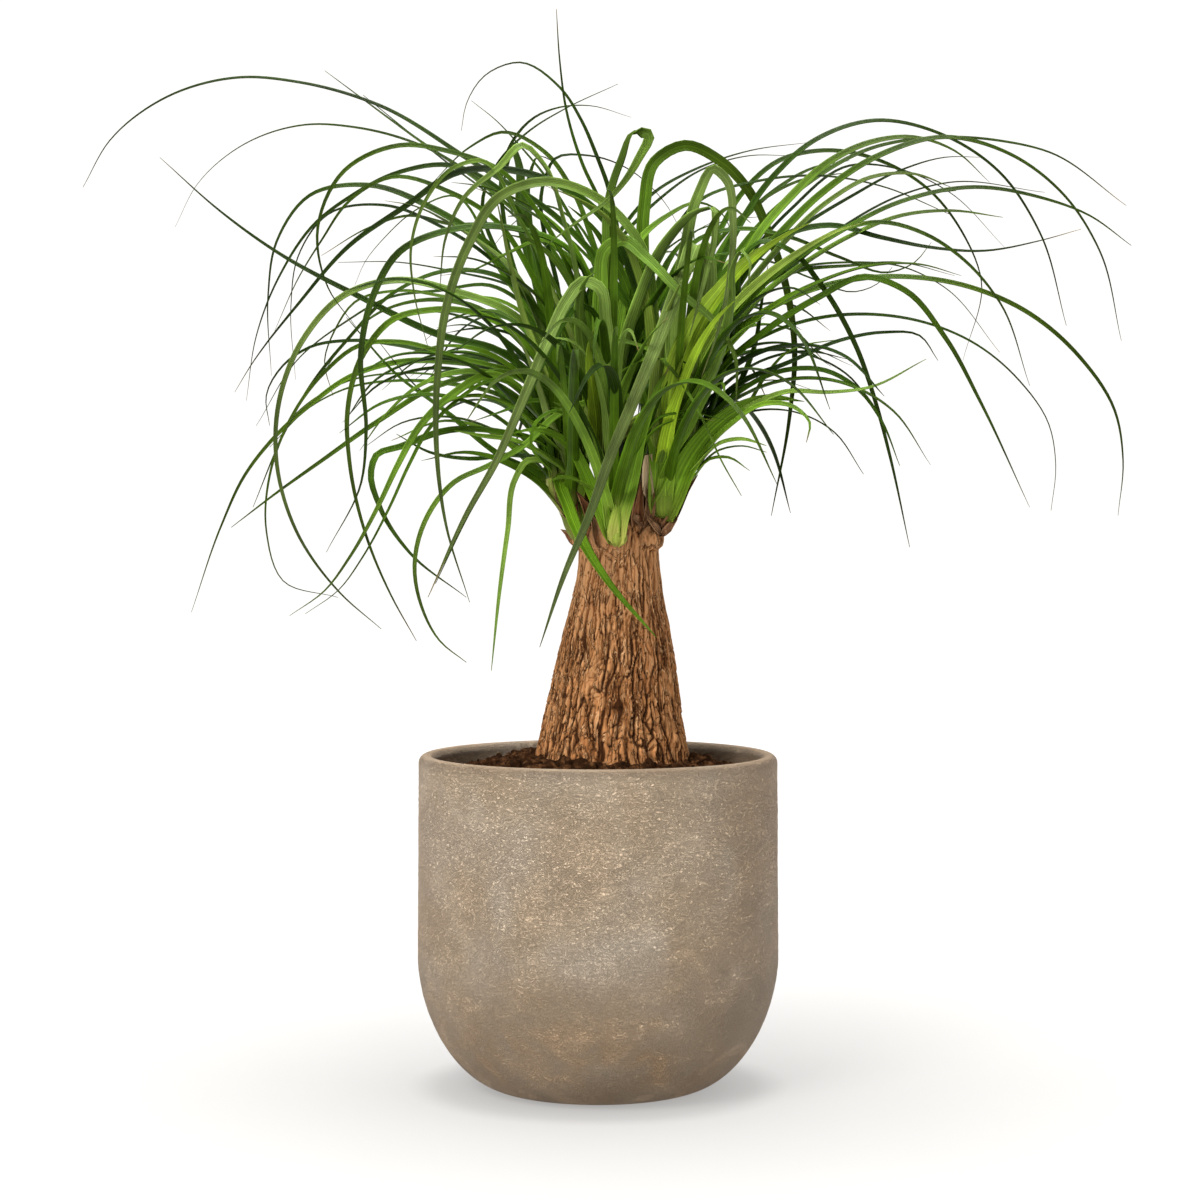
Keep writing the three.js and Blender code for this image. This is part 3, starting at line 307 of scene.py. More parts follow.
        [5.5, 0.45, 100, [72, 509, 88, 536, 109, 554, 136, 560, 169, 554, 199, 536, 218, 512, 230,
          482, 219, 434]],
    ],
}

# Leaves of this file alone, broad ones in the middle of the crown, in the same form, with how
# bright the green is before the points. That brightness holds painted light and shade: near 1,
# a bright yellow green, is painted light shining through the leaf, and the low values of the
# leaves at the back are painted shade.
BROAD_LEAVES = {
    "head_front": [
        [9, 0.4, -85, 0.8, [8, 356, 5, 386, 2, 413, -5, 434, -17, 446, -30, 448]],
        [9, 0.2, -45, 0.5, [1, 347, -8, 368, -20, 386, -32, 395, -47, 400]],
        [8, 0.3, -60, 0.65, [5, 347, 0, 374, -5, 392, -14, 403, -28, 406]],
        [7, 0.3, -50, 0.5, [14, 347, 20, 368, 28, 386, 37, 395, 55, 400, 70, 398]],
        [8, 0.2, -60, 0.6, [4, 347, -11, 362, -23, 364, -30, 361]],
    ],
    "head_left": [
        [11.5, 0.3, -40, 0.96, [-17, 386, -32, 428, -46, 464, -54, 497, -59, 523, -62, 536]],
        [10, 0.3, -15, 0.85, [-14, 392, -28, 434, -41, 470, -56, 493, -72, 506, -89, 517, -110, 527,
          -128, 530]],
        [9, 0.3, -40, 0.5, [-16, 374, -32, 404, -50, 428, -71, 440, -92, 443, -113, 439]],
        [9, 0.3, -60, 0.6, [-17, 368, -35, 392, -53, 407, -71, 413, -89, 410, -104, 398]],
        [8, 0.4, -75, 0.7, [-17, 362, -32, 377, -50, 386, -71, 389, -86, 392]],
        [8, 0.3, 30, 0.4, [-17, 398, -29, 434, -44, 455, -65, 464, -86, 460, -104, 446]],
        [7, 0.4, -50, 0.6, [-20, 380, -41, 410, -59, 424, -83, 427, -107, 419, -128, 401, -143,
          380]],
        [9, 0.3, -70, 0.9, [-19, 368, -30, 398, -38, 425, -47, 446, -60, 460]],
    ],
    "head_back_left": [
        [10, 0.2, 90, 0.3, [-14, 410, -28, 452, -38, 488, -42, 521, -41, 545, -35, 557, -28, 554]],
        [9, 0.3, 60, 0.35, [-17, 410, -38, 458, -56, 488, -77, 509, -98, 521]],
        [6, 0.5, 70, 0.4, [-23, 410, -47, 446, -77, 467, -107, 470, -131, 463, -149, 449, -164,
          428]],
        [10, 0.2, 50, 0.9, [-11, 410, -23, 452, -34, 488, -46, 515, -56, 530]],
    ],
    "head_centre": [
        [12, 0.4, -80, 0.75, [1, 398, -6, 428, -10, 452, -11, 470, -6, 484, 1, 488]],
        [10, 0.15, 30, 0.5, [5, 392, 5, 422, 4, 446, 7, 467, 16, 479]],
        [9, 0.15, -95, 1, [0, 374, -1, 398, -4, 422, -5, 443, -2, 454]],
        [9, 0.2, 20, 0.35, [8, 392, 18, 422, 23, 449, 18, 476, 8, 497, -4, 515, -18, 527]],
        [9.5, 0.3, -10, 0.55, [1, 392, -11, 428, -22, 458, -32, 488, -44, 515, -56, 530, -77, 539]],
        [9, 0.25, 40, 0.3, [8, 392, 16, 428, 30, 458, 49, 482, 70, 497]],
        [7, 0.3, -85, 0.6, [6, 380, 7, 404, 12, 424, 25, 434, 42, 435]],
        [10, 0.3, -10, 0.5, [8, 410, 1, 452, -8, 488, -20, 509, -35, 523, -53, 533, -71, 539, -88,
          541]],
        [12, 0.35, -70, 0.97, [30, 404, 31, 446, 25, 482, 14, 508, 1, 523, -16, 533, -32, 539]],
        [8, 0.3, 30, 0.6, [10, 422, 16, 470, 25, 506, 42, 521, 61, 529, 74, 523, 82, 506]],
        [7, 0.3, -20, 0.55, [5, 410, -5, 458, -17, 493, -32, 506, -53, 499, -77, 488, -95, 485]],
        [11, 0.4, -60, 0.95, [-1, 386, -6, 422, -16, 449, -25, 470, -35, 493]],
        [10, 0.4, -100, 0.7, [8, 380, 14, 410, 23, 434, 31, 449, 42, 460]],
    ],
    "head_right": [
        [12.5, 0.6, -95, 1, [40, 358, 42, 380, 47, 410, 55, 440, 66, 463, 79, 481, 95, 497, 112,
          509, 128, 517]],
        [12.5, 0.6, -105, 0.99, [40, 358, 40, 386, 42, 413, 49, 440, 59, 461, 71, 476, 86, 493, 104,
          506]],
        [11, 0.5, -60, 0.97, [40, 358, 44, 380, 54, 416, 66, 443, 80, 464, 97, 481, 118, 497, 142,
          511, 163, 518]],
        [10, 0.6, -108, 1, [40, 358, 40, 374, 44, 398, 52, 422, 61, 443, 72, 460, 82, 470]],
        [8.5, 0.3, -120, 0.75, [40, 358, 44, 386, 61, 410, 74, 440, 80, 470, 82, 493, 86, 500, 90,
          496, 90, 479]],
        [9, 0.4, 0, 0.6, [61, 440, 82, 482, 98, 511, 116, 532, 139, 553, 164, 565, 190, 568, 214,
          560, 235, 541]],
        [9, 0.4, -20, 0.8, [64, 440, 88, 476, 112, 505, 139, 530, 164, 544, 190, 546, 212, 538]],
        [8, 0.4, -45, 0.7, [67, 434, 94, 469, 122, 491, 152, 509, 182, 521, 212, 524, 243, 520]],
        [7, 0.4, -60, 0.5, [68, 428, 100, 463, 130, 480, 163, 491, 193, 492, 218, 485]],
        [9, 0.2, 10, 0.35, [40, 358, 42, 380, 40, 410, 42, 440, 47, 470, 54, 493, 61, 500]],
        [8, 0.3, -90, 0.65, [40, 358, 44, 377, 52, 401, 62, 419, 74, 440, 86, 452, 100, 460]],
        [7, 0.3, -90, 0.6, [40, 358, 44, 374, 55, 392, 64, 410, 70, 419, 74, 421, 76, 410]],
        [11, 0.4, -75, 0.96, [40, 358, 37, 380, 35, 410, 37, 440, 42, 463, 50, 482]],
    ],
    "head_back_right": [
        [10, 0.2, 60, 0.25, [31, 392, 32, 428, 34, 464, 42, 493, 55, 509, 68, 517]],
        [9, 0.3, 90, 0.3, [43, 410, 55, 452, 68, 488, 86, 517, 106, 536, 130, 550, 151, 554]],
        [9, 0.3, 40, 0.85, [40, 398, 49, 440, 61, 470, 78, 493, 97, 506, 121, 512]],
        [8, 0.3, 70, 0.4, [34, 398, 40, 440, 55, 476, 73, 506, 94, 527, 121, 542, 151, 547]],
    ],
}

# How the CAD model clears a leaf that would cross another node: it shifts the tip's depth in
# millimetres, or the azimuth in degrees, by these in turn. The try that it kept is the one whose
# tip is this near to a point of the node.
DEPTH_TRIES = [0, 14, -14, 28, -28, 42, -42, 60, -60]
ANGLE_TRIES = [0, 4, -4, 8, -8, 13, -13, 19, -19]
TIP_MATCH = 0.4

# Blades: the step between points along them, their thickness, the angle that each half of their
# channel rises by in radians, and how far a leaf runs up the core's side before it leaves it
LEAF_STEP = 5.0
LEAF_THICKNESS = 0.5
CHANNEL = 0.62
SHEATH_RUN = 11
# A leaf comes back down beside itself if its tip is within this share of its length from its
# root, seen from above. It is then turned at least so far to the viewer.
FOLDED_SHARE = 0.22
FOLDED_TURN = 0.9
# Husks don't widen at the root, and they are more curled and thicker than leaves
HUSK_FORM = dict(spread=0, channel=0.9, thickness=0.6)
# The core is coloured like the foot of a leaf of this length
CORE_RUN = 300

# Leaves placed one by one: share of the CAD model's width, and the tones that they are drawn
# from, 0 for the darkest green and 1 for the brightest, by the depth that the tip stays in front
# of. These tones are painted shade and light: darker for leaves further back in the crown,
# brighter for those at the front.
PLACED_SHARE = 0.78
PLACED_DEPTH_SHADED_TONES = [(-60, (0.25, 0.8)), (50, (0, 0.7)), (np.inf, (0, 0.4))]
# Leaves set by rule: share of the width and tones, kept low as painted shade among the leaves
# of the crown
SPIRAL_SHARE = 0.75
SPIRAL_SHADED_TONES = (0, 0.45)
# Those of them that lean to the viewer and reach less than this to a side: share, turn and tones
FORWARD_REACH = 75
FORWARD_LOOK = (0.5, 0.85, (0.45, 0.8))
# Thin leaves beside some of those whose tips are more than this far to a side
COMPANION_REACH = 90
COMPANION_TONES = (0, 0.35)
# Leaves that the CAD model doesn't have, set by its rule: how many for each head, and tones,
# kept low as painted shade, as these stand behind the others
FILLERS = {"head_front": 0, "head_right": 3, "head_left": 2, "head_centre": 7,
           "head_back_left": 5, "head_back_right": 5}
FILLER_SHADED_TONES = (0, 0.5)
# Leaves seen best, by their places in the table: share of the width, turn and tone. The tones
# hold painted light and shade: a painted sheen near 0.85 for leaves at the front, and a dark
# tone, painted shade, for the one at the back
SEEN_BEST = {
    "head_right": {6: (1.3, 0.1, 0.86), 3: (0.85, 0.6, 0.78), 5: (0.9, 0.7, 0.84)},
    "head_left": {16: (0.78, 0.6, 0.5)},
    "head_centre": {4: (1.2, 0.35, 0.78), 9: (1.5, 0.35, 0.7), 10: (1.1, 0.15, 0.8),
                    14: (1.1, 0.7, 0.7)},
    "head_front": {0: (1.0, 0.7, 0.85)},
    "head_back_left": {2: (1.0, 0.6, 0.22)},
    "head_back_right": {2: (0.95, 0.6, 0.5)},
}

# Bark: where its skin starts under the soil, the size of its faces, the radius of the round post
# on which its pattern is worked out, and the height of its plates
BARK_FOOT = 176
BARK_CELL = 0.84
POST = 38
PLATE_HEIGHT = 13

# Soil: the radius of its bed, the height and the sideways place of the mouth of its hole, how
# much wider than the stem the hole is, and how many crumbs are thrown on it
BED_RADIUS = 98
MOUTH_HEIGHT = 190
MOUTH_EAST = 8.0
HOLE_GAP = 1.2
CRUMBS = 420

# Corners of round shapes
RIM_SIDES = 360
FLOOR_SIDES = 96
STEM_SIDES = 72
BAR_SIDES = 24


def seeded_draws(seed):
    """The same draws every time, between 0 and 1: each state is the last one times 16807,
    modulo 2147483647."""
    state = seed
    while True:
        state = (state * 16807) % 2147483647
        yield state / 2147483647


def unit(vectors):
    """Each row divided by its length."""
    vectors = np.asarray(vectors, float)
    return vectors / np.maximum(np.linalg.norm(vectors, axis=-1, keepdims=True), 1e-12)


def graded(values, start, end):
    """0 at the start, 1 at the end, in step between them and level beyond. The end may be the
    lower number."""
    return np.clip((values - start) / (end - start), 0, 1)


def lattice_draws(x, y, z, seed):
    """A draw between 0 and 1 for each whole lattice point: its coordinates times large odd
    numbers, mixed bit by bit."""
    x, y, z = (np.asarray(v).astype(np.int64).astype(np.uint64) for v in (x, y, z))
    h = x * np.uint64(0x9E3779B97F4A7C15) ^ y * np.uint64(0xC2B2AE3D27D4EB4F)
    h ^= z * np.uint64(0x165667B19E3779F9) ^ np.uint64(seed * 0x27D4EB2F)
    h ^= h >> np.uint64(29)
    h *= np.uint64(0xBF58476D1CE4E5B9)
    h ^= h >> np.uint64(32)
    return (h & np.uint64(0xFFFFFF)).astype(float) / 0xFFFFFF


def soft_noise(points, size, seed):
    """Smooth noise between 0 and 1: draws on a lattice with cells of the given size along X, Y
    and Z, blended between the 8 corners with weights 3t^2 - 2t^3."""
    q = np.asarray(points) / np.asarray(size, float)
    cell = np.floor(q)
    t = q - cell
    t = t * t * (3 - 2 * t)
    total = np.zeros(len(q))
    for corner in range(8):
        step = np.array([corner & 1, (corner >> 1) & 1, corner >> 2])
        weight = np.prod(np.where(step == 1, t, 1 - t), axis=1)
        total += weight * lattice_draws(*(cell + step).T, seed)
    return total


def layered_noise(points, size, seed, layers=3):
    """Soft noise plus copies of it at half the size and half the strength, scaled to 0 to 1."""
    size = np.asarray(size, float) * np.ones(3)
    total = sum(soft_noise(points, size / 2 ** k, seed + k) / 2 ** k for k in range(layers))
    return total / sum(1 / 2 ** k for k in range(layers))


def put_object(name, data):
    """A new object in the scene."""
    holder = bpy.data.objects.new(name, data)
    bpy.context.scene.collection.objects.link(holder)
    return holder


def smooth_mesh(name, points, faces):
    """A mesh with smooth faces, from points in millimetres."""
    mesh = bpy.data.meshes.new(name)
    mesh.from_pydata((np.asarray(points) * MM).tolist(), [], faces)
    mesh.polygons.foreach_set("use_smooth", np.ones(len(mesh.polygons), bool))
    return mesh


def put_mesh(name, points, faces, material, nodes, marks=None):
    """A mesh piece from points in millimetres. It rides on the part and stands for the given CAD
    nodes. marks holds named numbers, one for each point or one for all of them."""
    mesh = smooth_mesh(name, points, faces)
    for mark, values in (marks or {}).items():
        attribute = mesh.attributes.new(mark, "FLOAT", "POINT")
        spread = np.zeros(len(points)) + values
        attribute.data.foreach_set("value", spread.astype(np.float32))
    mesh.materials.append(material)
    mesh.update()
    piece = put_object(name, mesh)
    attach(piece, "root")
    if nodes:
        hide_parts(*nodes)


def ring_faces(rings, sides):
    """Quads between closed rings of points that turn anticlockwise seen against the way the
    rings run, and a cap on the first and the last ring."""
    ring, side = np.meshgrid(np.arange(rings - 1), np.arange(sides), indexing="ij")
    here = ring * sides + side
    across = ring * sides + (side + 1) % sides
    quads = np.stack([here, across, across + sides, here + sides], -1).reshape(-1, 4).tolist()
    first = np.arange(sides)[::-1].tolist()
    last = ((rings - 1) * sides + np.arange(sides)).tolist()
    return quads + [first, last]


def level_rings(radii, heights, sides, middles=0.0):
    """Points of level rings round the Z axis, each with a height, a radius and a shift of its
    middle along X. A ring's radius is one number or one for each of its points."""
    angle = np.linspace(0, FULL_TURN, sides, endpoint=False)
    radii = np.reshape(radii, (len(heights), -1))
    return np.stack([
        np.reshape(middles, (-1, 1)) + radii * np.cos(angle),
        radii * np.sin(angle),
        np.repeat(np.reshape(heights, (-1, 1)), sides, axis=1),
    ], -1).reshape(-1, 3)


def smooth_line(points, step):
    """A cubic curve through the points: on each span, Hermite blending of its ends and of the
    slopes there, which are those of the parabola through a point and its two neighbours."""
    points = np.asarray(points, float)
    gaps = np.linalg.norm(np.diff(points, axis=0), axis=1)
    rates = np.diff(points, axis=0) / gaps[:, None]
    inner = (rates[:-1] * gaps[1:, None] + rates[1:] * gaps[:-1, None]) \
        / (gaps[:-1] + gaps[1:])[:, None]
    slopes = np.vstack([rates[:1], inner, rates[-1:]])
    counts = np.maximum(1, np.round(gaps / step).astype(int))
    span = np.repeat(np.arange(len(gaps)), counts)
    t = np.concatenate([np.arange(1, n + 1) / n for n in counts])[:, None]
    gap = gaps[span][:, None]
    curve = (2 * t ** 3 - 3 * t ** 2 + 1) * points[span] \
        + gap * (t ** 3 - 2 * t ** 2 + t) * slopes[span] \
        + (3 * t ** 2 - 2 * t ** 3) * points[span + 1] \
        + gap * (t ** 3 - t ** 2) * slopes[span + 1]
    return np.vstack([points[:1], curve])


def along_line(line):
    """Share of a line's length at each of its points, and the length."""
    runs = np.concatenate([[0], np.cumsum(np.linalg.norm(np.diff(line, axis=0), axis=1))])
    return runs / runs[-1], runs[-1]


def head_axis(head):
    """The direction that a head's core points in."""
    return unit(head["lean"])


def core_radius(head, height):
    """The core's radius: it narrows to 0.4 of its foot's as the height share to the 1.3."""
    return head["radius"] * (1 - 0.6 * graded(height, 0, head["length"]) ** 1.3)


def on_core(head, height, azimuth):
    """The point of the core's axis at a height, and the level direction of the azimuth tilted
    square to the axis."""
    axis = head_axis(head)
    out = np.array([np.cos(azimuth), np.sin(azimuth), 0.0])
    out = unit(out - axis * axis.dot(out))
    return axis, out, np.array(head["base"], float) + axis * height


def leaf_root(head, height, azimuth):
    """Where the CAD model's leaf starts, then where this file's does: it runs up the core's
    side for a little before it leaves it."""
    axis, out, point = on_core(head, height, azimuth)
    low = max(height - SHEATH_RUN, -0.5 * CORE_SINK)
    radius = core_radius(head, height)
    start = point + out * 0.3 * radius
    foot = point + axis * (low - height) + out * 0.8 * core_radius(head, max(low, 0))
    return start, np.array([foot, point - axis * 0.3 * (height - low) + out * 0.95 * radius])


def sight_points(seen, depths):
    """Points at the given depths that the eye sees at x, z on the plane through the pot's axis:
    they move away from the eye's line in step with their distance."""
    scale = (EYE_DISTANCE + depths) / EYE_DISTANCE
    return np.stack([
        EYE_X + (seen[:, 0] - EYE_X) * scale,
        depths,
        EYE_Z + (seen[:, 1] - EYE_Z) * scale,
    ], 1)


def placed_points(head, depth, seen):
    """Points of a listed leaf. Its depth goes from the base's to the tip's in step with the length
    it has run in the picture."""
    seen = np.array(seen, float).reshape(-1, 2)
    base = np.array(head["base"], float)
    start = [[base[0], base[2] + 0.5 * head["length"]]]
    runs = np.cumsum(np.linalg.norm(np.diff(np.vstack([start, seen]), axis=0), axis=1))
    passed = sight_points(seen, base[1] + (depth - base[1]) * runs / runs[-1])
    first = passed[0] - base
    middle = passed[len(passed) // 2] - base
    climb = np.arctan2(first[2], np.hypot(first[0], first[1])) / (np.pi / 2)
    height = head["length"] * (0.12 + 0.75 * np.clip(climb, 0, 1))
    return leaf_root(head, height, np.arctan2(middle[1], middle[0]))[1], passed


def spiral_points(head, leaf, shift):
    """Points of a leaf that climbs, then bends over: its slope falls from its climb by its bend
    times the length share to the 1.4, summed over 24 equal steps."""
    azimuth = leaf["azimuth"] + np.radians(shift)
    root, sheath = leaf_root(head, leaf["height"], azimuth)
    share = (np.arange(24) + 0.5) / 24
    climb = leaf["climb"] - leaf["bend"] * share ** 1.4
    heading = azimuth + leaf["drift"] * share
    stride = leaf["length"] / 24
    steps = stride * np.stack([
        np.cos(climb) * np.cos(heading),
        np.cos(climb) * np.sin(heading),
        np.sin(climb),
    ], 1)
    return sheath, (root + np.cumsum(steps, axis=0))[3::4]


def spiral_leaves(head, seed, count):
    """Leaves set round a head by the golden share, oldest and lowest first. An older leaf climbs
    less, bends over more and is longer. One that grows sideways climbs steeply at any age and is
    shorter. With the head's own seed and count, these are the CAD model's."""
    draw = seeded_draws(seed)
    leaves = []
    for i in range(count):
        age = 1 - (i + 0.5) / count
        side = 2 * ((i * GOLDEN_SHARE + 0.17 * seed) % 1) - 1
        around = np.radians(head["facing"] + head["spread"] * side)
        azimuth = around + 0.5 * np.sin(2 * around)
        sideways = np.cos(azimuth) ** 2
        climb = np.radians(76 - 36 * age * (1 - sideways) + 8 * (next(draw) - 0.5))
        bend = climb + np.radians(50 * next(draw) + 30 * age)
        length = (170 + 90 * age + 90 * next(draw)) * (1 - 0.4 * sideways)
        drift = np.radians(40 * (next(draw) - 0.5))
        width = 7 + 4 * next(draw)
        leaves.append(dict(
            azimuth=azimuth, height=head["length"] * (0.85 - 0.7 * age), climb=climb,
            bend=bend, length=length, drift=drift, width=width, turn=0.3 * next(draw)))
    return leaves


def vertex_rows(mesh, name):
    """What a mesh holds for its points under a name, such as their places, as rows of three."""
    rows = np.zeros(len(mesh.vertices) * 3, np.float32)
    mesh.vertices.foreach_get(name, rows)
    return rows.reshape(-1, 3).astype(float)


def node_points(node):
    """The points of a CAD node, in millimetres."""
    return vertex_rows(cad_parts[node].data, "co") / MM


def kept_try(points_at, tries, solid_points):
    """The route of a leaf as the CAD model has it: the first try whose tip is a point of the
    node, or nothing where the model left the leaf out."""
    for shift in tries:
        sheath, passed = points_at(shift)
        if np.linalg.norm(solid_points - passed[-1], axis=1).min() < TIP_MATCH:
            return np.vstack([sheath, passed])
    return None


def smeared(rows, reach):
    """Each row averaged with its neighbours up to the reach on either side."""
    padded = np.pad(rows, ((reach, reach), (0, 0)), mode="edge")
    return sum(padded[k:k + len(rows)] for k in range(2 * reach + 1)) / (2 * reach + 1)


def blade_mesh(points, width, turn, draws, tones=(0, 1), spread=0.5, channel=CHANNEL,
               thickness=LEAF_THICKNESS, dry=None):
    """A leaf blade: a channelled strip along a smooth line. At a length share s its width is
    (1.35 - 0.35 s) * (1 - s^2.3) * (1 + spread * exp(-s / 0.06)), and its first 10 mm are
    rounded like a spoon. Its section is a channel with a rounded keel: each half rises by the
    channel's angle times the place across to the 1.3, more at the root, where it clasps the
    core, and the back lies a thickness behind the face. It twists in a wave of its own, by up
    to 0.35 radians at the tip. A leaf that comes back down beside itself shows its face
    throughout. Its tone and how dry it is are drawn, unless dry is given. Returns points, faces
    and marks."""
    points = np.reshape(points, (-1, 3)).astype(float)
    line = smooth_line(points, LEAF_STEP)
    share, length = along_line(line)
    along = unit(np.gradient(line, axis=0))
    reach = (points[-1] - points[0]) * [1, 1, 0]
    if np.linalg.norm(reach) < FOLDED_SHARE * length:
        turn = max(turn, FOLDED_TURN)
    sideways = np.cross(UP, unit(reach))
    side = unit(sideways - along * (along @ sideways)[:, None])
    shown = unit(TO_VIEWER - along * (along @ TO_VIEWER)[:, None])
    face = smeared(unit(np.cross(along, side) * (1 - turn) + shown * turn), 3)
    face = unit(face - along * (along * face).sum(1)[:, None])
    side = np.cross(face, along)
    first, second, third, fourth = (next(draws) for _ in range(4))
    roll = (0.35 * np.sin(FULL_TURN * (share * (0.6 + 0.8 * first) + second)) * share)[:, None]
    side, face = side * np.cos(roll) + face * np.sin(roll), \
        face * np.cos(roll) - side * np.sin(roll)
    spoon = np.clip(1 - share * length / 10, 0, 0.98)
    root = np.exp(-share / 0.06)
    half = width / 2 * (1.35 - 0.35 * share) * (1 - share ** 2.3) \
        * (1 + spread * root) * np.sqrt(1 - spoon ** 2) + 0.2
    bend = (channel + 0.55 * root - 0.25 * share)[:, None]
    top = np.linspace(1, -1, 7)
    under = np.linspace(-2 / 3, 2 / 3, 5)
    across = np.concatenate([top, under])
    lateral = across * np.cos(0.75 * bend * np.abs(across))
    rise = np.sin(bend) * (np.abs(across) ** 1.3 - 0.5)
    back = np.concatenate([np.zeros(len(top)), 1 - 0.5 * under ** 2]) * thickness
    depth = rise * half[:, None] - back * np.minimum(1, half[:, None] / 1.2)
    body = line[:, None, :] + side[:, None, :] * (lateral * half[:, None])[..., None] \
        + face[:, None, :] * depth[..., None]
    sides = len(across)
    marks = {
        "run": np.repeat(share, sides),
        "across": np.tile(across, len(line)),
        "from_root": np.repeat(share * length, sides),
        "tone": tones[0] + (tones[1] - tones[0]) * third,
        "dry": fourth if dry is None else dry,
        "under": np.tile(np.repeat([0, 1], [len(top), len(under)]), len(line)),
    }
    return body.reshape(-1, 3), ring_faces(len(line), sides), marks


def ring_round(axis, hint, sides):
    """Points of a ring of radius 1 round an axis. It starts square to the hint and the axis."""
    east = unit(np.cross(hint, axis))
    north = np.cross(axis, east)
    angle = np.linspace(0, FULL_TURN, sides, endpoint=False)[:, None]
    return east * np.cos(angle) + north * np.sin(angle)


def core_mesh(head):
    """The core of a head: rings round its axis with the core's radius, swollen like an onion
    just above its rounded foot, with shallow creases round it."""
    heights = np.linspace(-CORE_SINK, head["length"] + 2, 40)
    angle = np.linspace(0, FULL_TURN, 36, endpoint=False)
    foot = graded(heights, 0, -CORE_SINK)
    radius = core_radius(head, np.maximum(heights, 0)) * np.sqrt(1 - (0.99 * foot) ** 2) \
        * (1 + 0.16 * np.exp(-((heights - 5) / 9) ** 2))
    crease = 1 - 0.06 * np.abs(np.cos(2.5 * angle[None, :] + heights[:, None] / 14))
    reach = (radius[:, None] * crease)[..., None]
    points = np.array(head["base"]) + heights[:, None, None] * head_axis(head) \
        + reach * ring_round(head_axis(head), UP, len(angle))
    run = np.repeat(graded(heights, 0, CORE_RUN), len(angle))
    marks = {"run": run, "across": np.tile(np.sin(2.5 * angle), len(heights)),
             "from_root": run * CORE_RUN, "tone": 0.6, "dry": 0, "under": 0}
    return points.reshape(-1, 3), ring_faces(len(heights), len(angle)), marks


def bulb_mesh(place, half_sizes, pale):
    """The swollen foot of a head: rings of sin(t) * (1 + 0.1 * cos(t)) round an upright axis,
    from its lowest point to its top, with six shallow furrows."""
    t = np.linspace(0.02, np.pi - 0.02, 26)
    angle = np.linspace(0, FULL_TURN, 36, endpoint=False)
    profile = (np.sin(t) * (1 + 0.1 * np.cos(t)))[:, None]
    radii = profile * (1 - 0.03 * np.abs(np.cos(3 * angle)))
    points = level_rings(radii, -np.cos(t), len(angle)) * half_sizes + place
    marks = {"run": 0, "across": np.tile(np.sin(6 * angle), len(t)) * 0.7,
             "from_root": np.repeat((1 - np.cos(t)) * half_sizes[2], len(angle)),
             "tone": 0.58, "dry": pale, "under": 0}
    return points, ring_faces(len(t), len(angle)), marks


def joined(parts):
    """Several (points, faces, marks) as one. A mark that is one number stands for all points."""
    points, faces, marks, start = [], [], {}, 0
    for part_points, part_faces, part_marks in parts:
        points.append(part_points)
        faces += [[start + i for i in face] for face in part_faces]
        for mark, values in part_marks.items():
            marks.setdefault(mark, []).append(np.zeros(len(part_points)) + values)
        start += len(part_points)
    return np.vstack(points), faces, {mark: np.concatenate(v) for mark, v in marks.items()}


def inside_cad(points):
    """Whether a route stays inside the CAD model's box."""
    low, high = (np.array(corner) / MM for corner in cad_box)
    return bool(np.all(points > low + 4) and np.all(points < high - 4))


def companion(points, draws):
    """A route beside another one: it swings round its own root, up to 9 degrees to either side,
    and it is up to a quarter shorter."""
    turn = np.radians(18 * (next(draws) - 0.5))
    reach = 0.76 + 0.24 * next(draws)
    lift = 14 * (next(draws) - 0.5)
    away = (points - points[0]) * reach
    east = away[:, 0] * np.cos(turn) - away[:, 1] * np.sin(turn)
    north = away[:, 0] * np.sin(turn) + away[:, 1] * np.cos(turn)
    share = np.linspace(0, 1, len(points))
    return points[0] + np.stack([east, north, away[:, 2] + lift * np.sin(np.pi * share)], 1)


